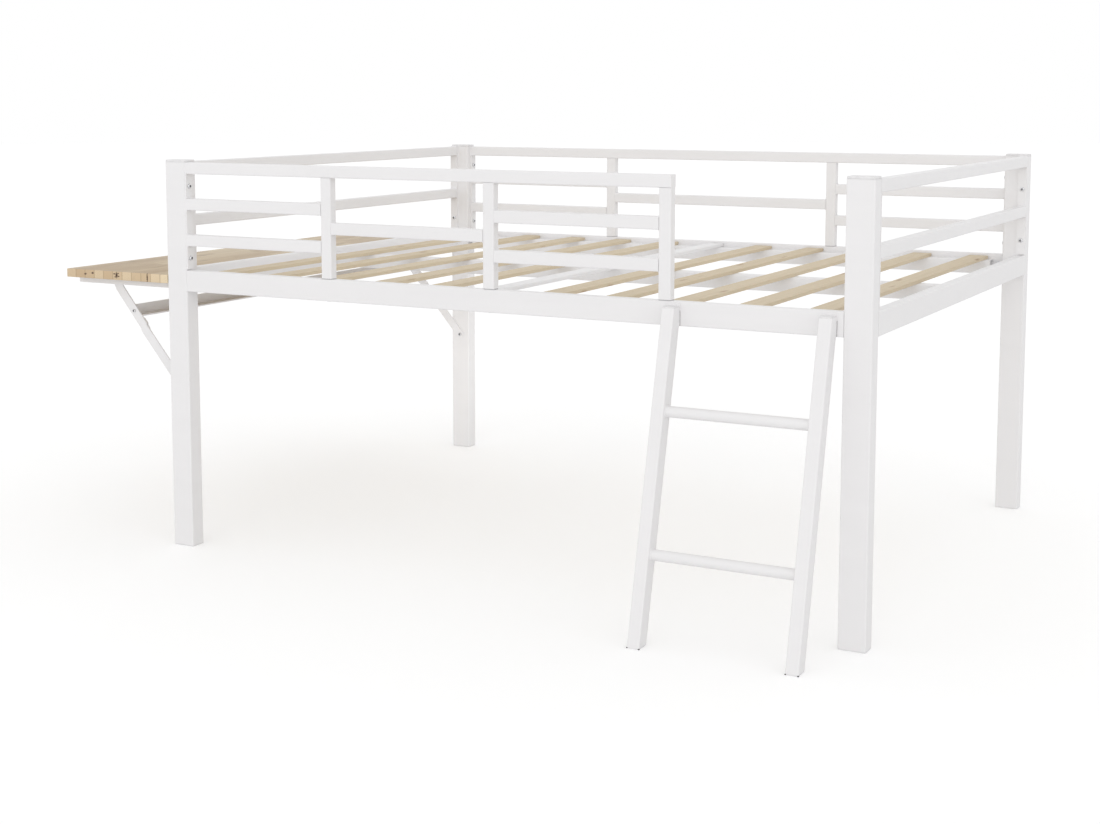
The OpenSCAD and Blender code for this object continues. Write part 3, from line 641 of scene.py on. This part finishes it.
    def make(self) -> Material:
        """Builds the material.

        Returns:
            The material.
        """
        g = Graph(self.name)
        tone, chance, glue = self.blocks(g)
        x, y, z = g.split(g.place)
        red, green, blue = g.add("SeparateColor", {0: chance}).outputs
        place = g.join(x, g.plus(y, g.times(blue, self.grain_slide)), z)
        late = self.late_wood(g, self.heart_distance(g, red, green), place)
        fibre = self.fibres(g, place)
        wood = self.grain(g, late, fibre)
        wood = g.mix(g.ramp(tone, self.pale_blocks), wood, self.pale)
        wood = g.mix(g.ramp(tone, self.dark_blocks), wood, self.dark)
        wood = self.knotted(g, self.streaked(g, wood, place), place)
        wood = self.end_grain(g, wood, tone, late, glue)
        wood = g.mix(g.ramp(glue, self.glue_line), self.marked(g, wood), self.dark)
        g.bump(g.plus(g.times(fibre, self.fibre_rise), g.ramp(glue, self.groove)), self.relief)
        g.fix({"Coat Weight": self.coat, "Coat Roughness": self.coat_roughness})
        return g.paint(wood, g.ramp(fibre, self.roughness))


@dataclass(frozen=True)
class Palette:
    """The finished materials, made once."""

    white: Material
    cap: Material
    dark: Material
    grey: Material
    zinc: Material
    shadow_zinc: Material
    slats: Material
    desk: Material

    @classmethod
    def mix(cls, desk: LaminatedPine) -> "Palette":
        """Makes every material.

        Args:
            desk: The desk's finish, which knows where the desk is.

        Returns:
            The palette.
        """
        cap = Plastic("white_plastic", (0.815, 0.805, 0.808), Ramp(0.3, 0.7, 0.36, 0.50))
        dark = Plastic("black_plastic", (0.03, 0.03, 0.032), Ramp(0.3, 0.7, 0.49, 0.63))
        # This grey is partly painted shade: on the plugs it stands for the thin shadow gap under
        # each upright.
        grey = Plastic("grey_plastic", (0.50, 0.50, 0.505), Ramp(0.3, 0.7, 0.44, 0.58))
        # A darker zinc that paints the shade in the screw heads' sockets and round their base.
        recess = ZincSteel("zinc_painted_recess_shade", (0.38, 0.38, 0.39), (0.26, 0.26, 0.27))
        return cls(
            white=PowderCoat().make(),
            cap=cap.make(),
            dark=dark.make(),
            grey=grey.make(),
            zinc=ZincSteel().make(),
            shadow_zinc=recess.make(),
            slats=SlatPine().make(),
            desk=desk.make(),
        )


# ---- Mesh tools ----


SAME_POINT = 1e-6
SORT_PLACES = 4
UPRIGHT = 0.99
ROUND_SEGMENTS = 4
RIM_SEGMENTS = 2
PLAIN_SMOOTH = 35.0
SMALL_SMOOTH = 30.0
WELD_SMOOTH = 60.0


@dataclass(frozen=True)
class Part:
    """One loose solid of a node: its box and its corner points."""

    low: Vector
    high: Vector
    points: tuple[Vector, ...]

    @property
    def size(self) -> Vector:
        """The box's size."""
        return self.high - self.low

    @property
    def middle(self) -> Vector:
        """The box's centre."""
        return (self.low + self.high) / 2


def loose_parts(node: bpy.types.Object) -> list[Part]:
    """Splits a node's mesh into its loose solids.

    Args:
        node: The node's object, which is only read.

    Returns:
        The solids, in order of X, then Y, then Z.
    """
    bm = bmesh.new()
    bm.from_mesh(node.data)
    bmesh.ops.remove_doubles(bm, verts=bm.verts, dist=SAME_POINT)
    left = set(bm.verts)
    parts = []
    while left:
        front = [left.pop()]
        found = []
        while front:
            vert = front.pop()
            found.append(vert.co.copy())
            for edge in vert.link_edges:
                other = edge.other_vert(vert)
                if other in left:
                    left.remove(other)
                    front.append(other)
        low = Vector([min(p[i] for p in found) for i in range(3)])
        high = Vector([max(p[i] for p in found) for i in range(3)])
        parts.append(Part(low, high, tuple(found)))
    bm.free()
    return sorted(parts, key=lambda p: tuple(round(v, SORT_PLACES) for v in p.middle))


def new_piece(name: str, bm: BMesh, material: Material, body: Body,
              smooth: float = PLAIN_SMOOTH) -> bpy.types.Object:
    """Makes an object of a finished bmesh.

    Args:
        name: The object's name.
        bm: The mesh, which is freed.
        material: Its material.
        body: The body it rides on.
        smooth: Edges flatter than this many degrees are shaded smooth.

    Returns:
        The object.
    """
    bmesh.ops.recalc_face_normals(bm, faces=bm.faces)
    mesh = bpy.data.meshes.new(name)
    bm.to_mesh(mesh)
    bm.free()
    mesh.materials.append(material)
    mesh.shade_smooth()
    mesh.set_sharp_from_angle(angle=math.radians(smooth))
    piece = bpy.data.objects.new(name, mesh)
    bpy.context.scene.collection.objects.link(piece)
    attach(piece, body.value)
    LOG.info("%s: %d faces", name, len(mesh.polygons))
    return piece


def bevel(bm: BMesh, edges: Iterable[bmesh.types.BMEdge], width: float, segments: int) -> None:
    """Rounds edges of a bmesh."""
    bmesh.ops.bevel(bm, geom=list(edges), offset=width, offset_type="OFFSET", affect="EDGES",
                    segments=segments, profile=0.5, material=-1)


def plain_block(low: Vector, high: Vector) -> BMesh:
    """Makes a block between two corners.

    Args:
        low: Its lowest corner.
        high: Its highest corner.

    Returns:
        The block.
    """
    bm = bmesh.new()
    bmesh.ops.create_cube(bm, size=1.0)
    bmesh.ops.scale(bm, verts=bm.verts, vec=high - low)
    bmesh.ops.translate(bm, verts=bm.verts, vec=(low + high) / 2)
    return bm


def add_block(bm: BMesh, low: Vector, high: Vector, side: float, rim: float) -> None:
    """Adds a block with rounded upright edges and a softly rounded rim.

    Args:
        bm: The mesh to add to.
        low: The block's lowest corner.
        high: Its highest corner.
        side: Radius of the upright edges.
        rim: Radius of all its other edges.
    """
    block = plain_block(low, high)
    if side > rim:
        bevel(block, [e for e in block.edges if is_upright(e)], side, ROUND_SEGMENTS)
    bevel(block, [e for e in block.edges if not is_upright(e) or side <= rim], rim, RIM_SEGMENTS)
    merge(bm, block)


def is_upright(edge: bmesh.types.BMEdge) -> bool:
    """Whether an edge runs along Z."""
    run = edge.verts[1].co - edge.verts[0].co
    return abs(run.z) > UPRIGHT * run.length


def merge(bm: BMesh, other: BMesh, place: Optional[Matrix] = None) -> None:
    """Moves another bmesh's faces into this one, and frees it.

    Args:
        bm: The mesh to add to.
        other: The mesh to add.
        place: Where it goes, if it isn't in place yet.
    """
    mesh = bpy.data.meshes.new("stamp")
    other.to_mesh(mesh)
    other.free()
    if place is not None:
        mesh.transform(place)
    bm.from_mesh(mesh)
    bpy.data.meshes.remove(mesh)


def facing(point: Vector, direction: Vector) -> Matrix:
    """A placement whose Z axis points along a direction."""
    return Matrix.Translation(point) @ direction.to_track_quat("Z", "Y").to_matrix().to_4x4()


@dataclass(frozen=True)
class SocketHead:
    """A domed screw head with a hexagon socket, on its base at the origin, facing +Z."""

    radius: float
    height: float
    socket: float
    segments: int = 24
    wall_share: float = 0.3
    dome_steps: tuple[float, ...] = (0.45, 0.75, 0.93, 1.0)
    dome_reach: float = 0.8
    socket_floor: float = 0.4
    low_wall: float = 1.01

    def hexagon(self, angle: float) -> float:
        """Distance from the socket's centre to its wall at an angle."""
        sixth = math.pi / 3
        return self.socket / math.cos((angle % sixth) - sixth / 2)

    def build(self) -> BMesh:
        """Builds the head. Its socket and its low wall take the second material, a darker zinc that
        paints their shade.

        Returns:
            The mesh.
        """
        bm = bmesh.new()
        wall = self.height * self.wall_share
        bmesh.ops.create_cone(bm, cap_ends=True, segments=self.segments, radius1=self.radius,
                              radius2=self.radius, depth=wall,
                              matrix=Matrix.Translation((0, 0, wall / 2)))
        top = max(bm.faces, key=lambda f: f.calc_center_median().z)
        for step in self.dome_steps:
            top = bmesh.ops.extrude_discrete_faces(bm, faces=[top])["faces"][0]
            width = self.radius * math.sqrt(1.0 - (self.dome_reach * step) ** 2)
            self.place_ring(top, wall + (self.height - wall) * step, lambda a, w=width: w)
        domed = set(bm.faces)
        for level in (self.height, self.height * self.socket_floor):
            top = bmesh.ops.extrude_discrete_faces(bm, faces=[top])["faces"][0]
            self.place_ring(top, level, self.hexagon)
        # Socket and low-wall faces take the darker zinc, which paints their shade.
        for face in bm.faces:
            recessed = face not in domed or face is top
            low = max(v.co.z for v in face.verts) < wall * self.low_wall
            face.material_index = 1 if recessed or low else 0
        return bm

    @staticmethod
    def place_ring(face: bmesh.types.BMFace, level: float, width: Callable[[float], float]) -> None:
        """Puts a face's corners on an outline at a level.

        Args:
            face: The face that closes the head.
            level: Its new height.
            width: Gives the outline's distance from the centre at an angle.
        """
        for vert in face.verts:
            angle = math.atan2(vert.co.y, vert.co.x)
            reach = width(angle)
            vert.co = Vector((reach * math.cos(angle), reach * math.sin(angle), level))


# ---- Sub-assemblies ----


HEAD_SHARE = 0.9
SHANK_SHARE = 0.6
SHANK_SIDES = 20
SHORTEST_SHANK = 0.1 * MM
SAME_LEVEL = 0.01 * MM


@dataclass
class Assembly:
    """A group of nodes, and the pieces that dress it."""

    nodes: dict[str, bpy.types.Object]
    palette: Palette

    def dress(self, material: Material, names: Iterable[str]) -> None:
        """Gives nodes a material.

        Args:
            material: The material.
            names: The nodes' names.
        """
        for name in names:
            node = self.nodes[name]
            node.data.materials.clear()
            node.data.materials.append(material)

    def named(self, *starts: str) -> list[str]:
        """The names of the nodes that begin with one of some texts."""
        return sorted(n for n in self.nodes if n.startswith(starts))

    def bolt_heads(self, node: str, body: Body, socket: float) -> None:
        """Replaces a node's plain bolts with domed socket heads on plain shanks.

        Args:
            node: The node with the bolts, whose heads are their widest part.
            body: The body the bolts ride on.
            socket: Half the width of the socket across its flats.
        """
        bm = bmesh.new()
        for part in loose_parts(self.nodes[node]):
            self.one_bolt(bm, part, socket)
        piece = new_piece(node + "_detail", bm, self.palette.zinc, body, SMALL_SMOOTH)
        # The second material paints the shade in each socket and round each head's base.
        piece.data.materials.append(self.palette.shadow_zinc)
        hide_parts(node)

    @staticmethod
    def one_bolt(bm: BMesh, part: Part, socket: float) -> None:
        """Adds one bolt in the place of a plain one.

        Args:
            bm: The mesh to add to.
            part: The plain bolt.
            socket: Half the width of the socket across its flats.
        """
        size = part.size
        pairs = [(abs(size[(i + 1) % 3] - size[(i + 2) % 3]), i) for i in range(3)]
        along = Axis(min(pairs)[1])
        wide = max(size[i] for i in range(3) if i != along.value) / 2
        middle = part.middle
        reach = [(flat_distance(p, middle, along), p[along.value]) for p in part.points]
        levels = [level for gap, level in reach if gap > HEAD_SHARE * wide]
        low, high = min(levels), max(levels)
        sign = 1.0 if high > part.high[along.value] - SAME_LEVEL else -1.0
        base = middle.copy()
        base[along.value] = low if sign > 0 else high
        head = SocketHead(wide, high - low, socket)
        merge(bm, head.build(), facing(base, along.vector * sign))
        tail = part.low if sign > 0 else part.high
        length = abs(base[along.value] - tail[along.value])
        thin = max((gap for gap, _ in reach if gap < HEAD_SHARE * wide), default=wide * SHANK_SHARE)
        if length > SHORTEST_SHANK:
            base[along.value] -= sign * length / 2
            bmesh.ops.create_cone(bm, cap_ends=True, segments=SHANK_SIDES, radius1=thin,
                                  radius2=thin, depth=length, matrix=facing(base, along.vector))


def flat_distance(point: Vector, centre: Vector, along: Axis) -> float:
    """How far a point lies from a line through a centre along an axis."""
    gap = point - centre
    return (gap - along.vector * gap[along.value]).length


@dataclass
class BedFrame(Assembly):
    """Posts, rails, ledges, the beam and the slats."""

    cap_rim: float = 1.2 * MM
    cap_side: float = 3.0 * MM
    bolt_socket: float = 2.6 * MM

    def build(self) -> None:
        """Builds and dresses the frame."""
        tubes = self.named("post_front", "post_back", "side_rail", "end_rail", "ledge")
        self.dress(self.palette.white, [*tubes, "centre_beam", "cross_bar"])
        self.dress(self.palette.slats, self.named("slat_"))
        self.dress(self.palette.cap, ["post_glides"])
        self.dress(self.palette.zinc, ["rail_spigots", "nuts", "post_pivots"])
        self.post_caps()
        for node in ("frame_bolts", "post_pivots"):
            self.bolt_heads(node, Body.BED, self.bolt_socket)

    def post_caps(self) -> None:
        """Replaces the posts' caps with caps that have rounded rims."""
        bm = bmesh.new()
        tube_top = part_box("post_front_left")[1].z
        for part in loose_parts(self.nodes["post_caps"]):
            low = Vector((part.low.x, part.low.y, tube_top))
            add_block(bm, low, part.high, self.cap_side, self.cap_rim)
        piece = new_piece("post_cap_tops", bm, self.palette.cap, Body.BED)
        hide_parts("post_caps")


@dataclass
class Guards(Assembly):
    """The guard bars on all four sides, their plates, plugs and welds."""

    bead: float = 1.6 * MM
    bead_inset: float = 2.4 * MM
    bead_sides: int = 10
    bead_cuts: int = 9
    bead_out: float = 0.35
    bead_tip: float = 0.55
    tip_from: float = 0.499
    ripples: int = 14
    ripple: float = 0.12

    def build(self) -> None:
        """Builds and dresses the guards."""
        bars = self.named("front_guard", "back_guard", "left_guard_bars", "right_guard_bars")
        self.dress(self.palette.white, [*bars, "guard_plates"])
        # The plugs' grey paints the thin shadow gap under each upright.
        self.dress(self.palette.grey, ["upright_plugs"])
        self.dress(self.palette.zinc, ["upright_bolts"])
        self.welds()

    def welds(self) -> None:
        """Adds a bead above and below each end of each bar."""
        bm = bmesh.new()
        for node, along in (("front_guard_bars", Axis.X), ("back_guard_bars", Axis.X),
                            ("left_guard_bars", Axis.Y), ("right_guard_bars", Axis.Y)):
            for part in loose_parts(self.nodes[node]):
                for end, inward in ((part.low, 1.0), (part.high, -1.0)):
                    for z in (part.low.z, part.high.z):
                        self.one_bead(bm, part, along, end[along.value], inward, z)
        new_piece("guard_welds", bm, self.palette.white, Body.BED, WELD_SMOOTH)

    def one_bead(self, bm: BMesh, part: Part, along: Axis, place: float, inward: float,
                 z: float) -> None:
        """Adds a rippled bead across a bar, in the corner at its end.

        Args:
            bm: The mesh to add to.
            part: The bar.
            along: The axis the bar runs along.
            place: Where the bar ends on that axis.
            inward: The way from the end into the bar.
            z: The height of the bar's edge.
        """
        across = Axis.Y if along is Axis.X else Axis.X
        width = part.size[across.value] - self.bead_inset
        bead = bmesh.new()
        bmesh.ops.create_cone(bead, cap_ends=True, segments=self.bead_sides, radius1=self.bead,
                              radius2=self.bead, depth=width)
        long_edges = [e for e in bead.edges if is_upright(e)]
        bmesh.ops.subdivide_edges(bead, edges=long_edges, cuts=self.bead_cuts, use_grid_fill=True)
        for vert in bead.verts:
            at_end = abs(vert.co.z) > width * self.tip_from
            wave = math.sin(vert.co.z / width * self.ripples * math.pi)
            swell = self.bead_tip if at_end else 1.0 + self.ripple * wave
            vert.co.x *= swell
            vert.co.y *= swell
        centre = part.middle
        centre[along.value] = place + inward * self.bead * self.bead_out
        centre.z = z + self.bead * (-self.bead_out if z < part.middle.z else self.bead_out)
        merge(bm, bead, facing(centre, across.vector))


@dataclass
class Desk(Assembly):
    """The desk leaf with its arms, hinges and stays."""

    arris: float = 1.6 * MM
    arris_segments: int = 3
    bolt_socket: float = 2.2 * MM
    screw: SocketHead = SocketHead(3.6 * MM, 0.9 * MM, 1.2 * MM)
    screw_x: float = 9 * MM
    screw_shares: tuple[float, ...] = (0.12, 0.5, 0.88)
    hinge_plate: float = 2 * MM

    def build(self) -> None:
        """Builds and dresses the desk."""
        p = self.palette
        self.dress(p.white, ["desk_arm_front", "desk_arm_back", "cross_angle_bar"])
        self.dress(p.white, [*self.named("lower_stay", "upper_stay"), "arm_pivots"])
        self.dress(p.cap, ["arm_caps"])
        self.dress(p.zinc, ["hinge_plates_bed", "hinge_plates_desk", "hinge_pins", "arm_screws"])
        self.board()
        self.bolt_heads("cross_bolts", Body.UPPER_STAYS, self.bolt_socket)
        self.hinge_screws()

    def board(self) -> None:
        """Replaces the plain leaf with a board whose edges are eased."""
        bm = plain_block(*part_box("desk_top"))
        bevel(bm, bm.edges, self.arris, self.arris_segments)
        piece = new_piece("desk_board", bm, self.palette.desk, Body.DESK)
        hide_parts("desk_top")

    def hinge_screws(self) -> None:
        """Adds a row of countersunk screws to each hinge plate, heads down."""
        bm = bmesh.new()
        for part in loose_parts(self.nodes["hinge_plates_desk"]):
            for share in self.screw_shares:
                place = Vector((part.low.x + self.screw_x, part.low.y + part.size.y * share,
                                part.high.z - self.hinge_plate))
                merge(bm, self.screw.build(), facing(place, Vector((0, 0, -1))))
        p = self.palette
        screws = new_piece("hinge_screws", bm, p.zinc, Body.DESK, SMALL_SMOOTH)
        # The second material paints the shade in each socket and round each head's base.
        screws.data.materials.append(p.shadow_zinc)


@dataclass
class Ladder(Assembly):
    """The leaning ladder."""

    fillet: float = 2.2 * MM
    fillet_sides: int = 48
    bite: float = 0.2 * MM
    pad: float = 4.0 * MM
    pad_height: float = 2.4 * MM
    pad_side: float = 1.2 * MM
    pad_rim: float = 0.5 * MM
    pad_out: float = 0.8 * MM
    strip: float = 0.8 * MM
    strip_length: float = 38.0 * MM
    strip_lift: float = 1 * MM
    strip_air: float = 0.05 * MM
    strip_side: float = 0.3 * MM
    strip_rim: float = 0.2 * MM

    def build(self) -> None:
        """Builds and dresses the ladder."""
        p = self.palette
        self.dress(p.white, self.named("ladder_stile") + ["ladder_rungs", "ladder_plates"])
        self.dress(p.zinc, ["ladder_bolts"])
        self.dress(p.cap, ["ladder_caps"])
        self.foot_pads()
        self.shadow_gap_strips()
        self.rung_welds()

    def foot_pads(self) -> None:
        """Adds a small dark rubber pad under the front corners of each stile."""
        bm = bmesh.new()
        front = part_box("ladder_caps")[0].y
        for name in self.named("ladder_stile"):
            low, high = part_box(name)
            for x in (low.x - self.pad_out, high.x - self.pad + self.pad_out):
                corner = Vector((x, front, 0.0))
                size = Vector((self.pad, self.pad, self.pad_height))
                add_block(bm, corner, corner + size, self.pad_side, self.pad_rim)
        new_piece("ladder_foot_pads", bm, self.palette.dark, Body.BED)

    def shadow_gap_strips(self) -> None:
        """Adds a thin dark strip at each plate's edge against the side rail, which paints the
        shadow in the gap there.
        """
        bm = bmesh.new()
        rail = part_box("side_rail_front")[0]
        for part in loose_parts(self.nodes["ladder_plates"]):
            start = Vector((part.high.x - self.bite, rail.y - self.strip, rail.z + self.strip_lift))
            end = start + Vector((self.strip, self.strip - self.strip_air, self.strip_length))
            add_block(bm, start, end, self.strip_side, self.strip_rim)
        # The black strip paints the contact shadow along the plate's edge.
        dark = self.palette.dark
        new_piece("ladder_plate_shadow_strips", bm, dark, Body.BED, WELD_SMOOTH)

    def rung_welds(self) -> None:
        """Adds a fillet weld round each end of each rung."""
        bm = bmesh.new()
        for part in loose_parts(self.nodes["ladder_rungs"]):
            radius = part.size.z / 2
            for x, inward in ((part.low.x, 1.0), (part.high.x, -1.0)):
                centre = Vector((x + inward * self.fillet / 2, part.middle.y, part.middle.z))
                place = facing(centre, Vector((inward, 0, 0)))
                bmesh.ops.create_cone(bm, cap_ends=False, segments=self.fillet_sides,
                                      radius1=radius + self.fillet, radius2=radius - self.bite,
                                      depth=self.fillet, matrix=place)
        new_piece("rung_welds", bm, self.palette.white, Body.BED, WELD_SMOOTH)


# ---- Studio ----


@dataclass(frozen=True)
class Sun:
    """A distant soft lamp, with its angles in degrees: round from the front to the
    right, above the floor, and its width in the sky."""

    name: str
    around: float
    above: float
    strength: float
    width: float

    def hang(self) -> None:
        """Adds the lamp to the scene."""
        data = bpy.data.lights.new(self.name, "SUN")
        data.energy = self.strength
        data.angle = math.radians(self.width)
        lamp = bpy.data.objects.new(self.name, data)
        around, above = math.radians(self.around), math.radians(self.above)
        flat = math.cos(above)
        aim = Vector((-math.sin(around) * flat, math.cos(around) * flat, -math.sin(above)))
        lamp.rotation_euler = aim.to_track_quat("-Z", "Y").to_euler()
        bpy.context.scene.collection.objects.link(lamp)


@dataclass(frozen=True)
class Card:
    """A small soft card of light that only lights, and is never seen. Its place and
    the point it faces are measured from the bed's corner."""

    name: str
    place: Triple
    target: Triple
    power: float
    size: float = 0.5
    spread: float = 50.0

    def hang(self, corner: Vector) -> None:
        """Adds the card to the scene.

        Args:
            corner: The bed's front left corner on the floor.
        """
        data = bpy.data.lights.new(self.name, "AREA")
        data.energy = self.power
        data.size = self.size
        data.spread = math.radians(self.spread)
        lamp = bpy.data.objects.new(self.name, data)
        lamp.location = corner + Vector(self.place)
        aim = Vector(self.target) - Vector(self.place)
        lamp.rotation_euler = aim.to_track_quat("-Z", "Y").to_euler()
        lamp.visible_camera = False
        lamp.visible_glossy = False
        bpy.context.scene.collection.objects.link(lamp)


@dataclass(frozen=True)
class Studio:
    """The floor, the lamps, the world and the camera."""

    corner: Vector
    eye: Triple = (3.2665, -3.8017, 1.3273)
    yaw: float = 28.038
    pitch: float = 6.484
    focal_px: float = 1696.0
    centre_px: tuple[float, float] = (545.75, 284.34)
    frame_px: tuple[float, float] = (1100.0, 824.0)
    sensor: float = 36.0
    sight: float = 200.0
    suns: tuple[Sun, ...] = (Sun("key", 8.0, 6.0, 0.50, 30.0), Sun("fill", 60.0, 8.0, 0.24, 60.0))
    card: Card = Card("card_under_deck", (0.8, 0.8, 0.42), (0.02, 1.6, 0.38), 0.33)
    surround: float = 0.90
    floor_radius: float = 40.0
    floor_sides: int = 96
    floor_color: Color = (0.88, 0.88, 0.88)
    floor_roughness: float = 0.9
    floor_glow: float = 0.20

    def build(self) -> None:
        """Sets up the studio."""
        self.view()
        self.world()
        self.floor()
        for sun in self.suns:
            sun.hang()
        self.card.hang(self.corner)
        bpy.context.scene.view_settings.view_transform = "Standard"

    def view(self) -> None:
        """Places the camera where the photograph was taken from."""
        data = bpy.data.cameras.new("view")
        width, height = self.frame_px
        data.sensor_width = self.sensor
        data.lens = self.sensor * self.focal_px / width
        data.shift_x = (width / 2 - self.centre_px[0]) / width
        data.shift_y = (self.centre_px[1] - height / 2) / width
        data.clip_end = self.sight
        camera = bpy.data.objects.new("view", data)
        camera.location = self.corner + Vector(self.eye)
        camera.rotation_euler = (math.radians(90 - self.pitch), 0.0, math.radians(self.yaw))
        bpy.context.scene.collection.objects.link(camera)
        bpy.context.scene.camera = camera

    def world(self) -> None:
        """Makes an even white surround, which the camera and gloss see as pure white."""
        world = bpy.data.worlds.new("surround")
        world.use_nodes = True
        tree = world.node_tree
        light = tree.nodes["Background"]
        seen = tree.nodes.new("ShaderNodeBackground")
        for node, strength in ((light, self.surround), (seen, 1.0)):
            node.inputs["Color"].default_value = (1.0, 1.0, 1.0, 1.0)
            node.inputs["Strength"].default_value = strength
        path = tree.nodes.new("ShaderNodeLightPath")
        either = tree.nodes.new("ShaderNodeMath")
        either.operation = "MAXIMUM"
        pick = tree.nodes.new("ShaderNodeMixShader")
        surface = tree.nodes["World Output"].inputs["Surface"]
        for output, socket in ((path.outputs["Is Camera Ray"], either.inputs[0]),
                               (path.outputs["Is Glossy Ray"], either.inputs[1]),
                               (either.outputs[0], pick.inputs[0]),
                               (light.outputs[0], pick.inputs[1]),
                               (seen.outputs[0], pick.inputs[2]),
                               (pick.outputs[0], surface)):
            tree.links.new(output, socket)
        bpy.context.scene.world = world

    def floor(self) -> None:
        """Lays a pale floor that keeps a faint shadow."""
        bm = bmesh.new()
        bmesh.ops.create_circle(bm, cap_ends=True, segments=self.floor_sides,
                                radius=self.floor_radius)
        mesh = bpy.data.meshes.new("floor")
        bm.to_mesh(mesh)
        bm.free()
        g = Graph("studio_floor")
        seen = g.add("LightPath").outputs["Is Camera Ray"]
        g.feed(g.shader.inputs["Emission Color"], (1.0, 1.0, 1.0))
        g.feed(g.shader.inputs["Emission Strength"], g.times(seen, self.floor_glow))
        mesh.materials.append(g.paint(self.floor_color, self.floor_roughness))
        plane = bpy.data.objects.new("floor", mesh)
        bpy.context.scene.collection.objects.link(plane)


def main() -> None:
    """Builds the whole scene, in order."""
    logging.basicConfig(level=logging.INFO, format="%(name)s: %(message)s")
    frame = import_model()
    corner = Vector((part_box("end_rail_left")[0].x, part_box("side_rail_front")[0].y, 0.0))
    desk_low, desk_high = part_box("desk_top")
    palette = Palette.mix(LaminatedPine(bed_x=corner.x, desk_low=desk_low, desk_high=desk_high))
    for kind in (BedFrame, Guards, Desk, Ladder):
        kind(frame["nodes"], palette).build()
        LOG.info("%s is built", kind.__name__)
    Studio(corner).build()


if __name__ == "__main__":
    main()
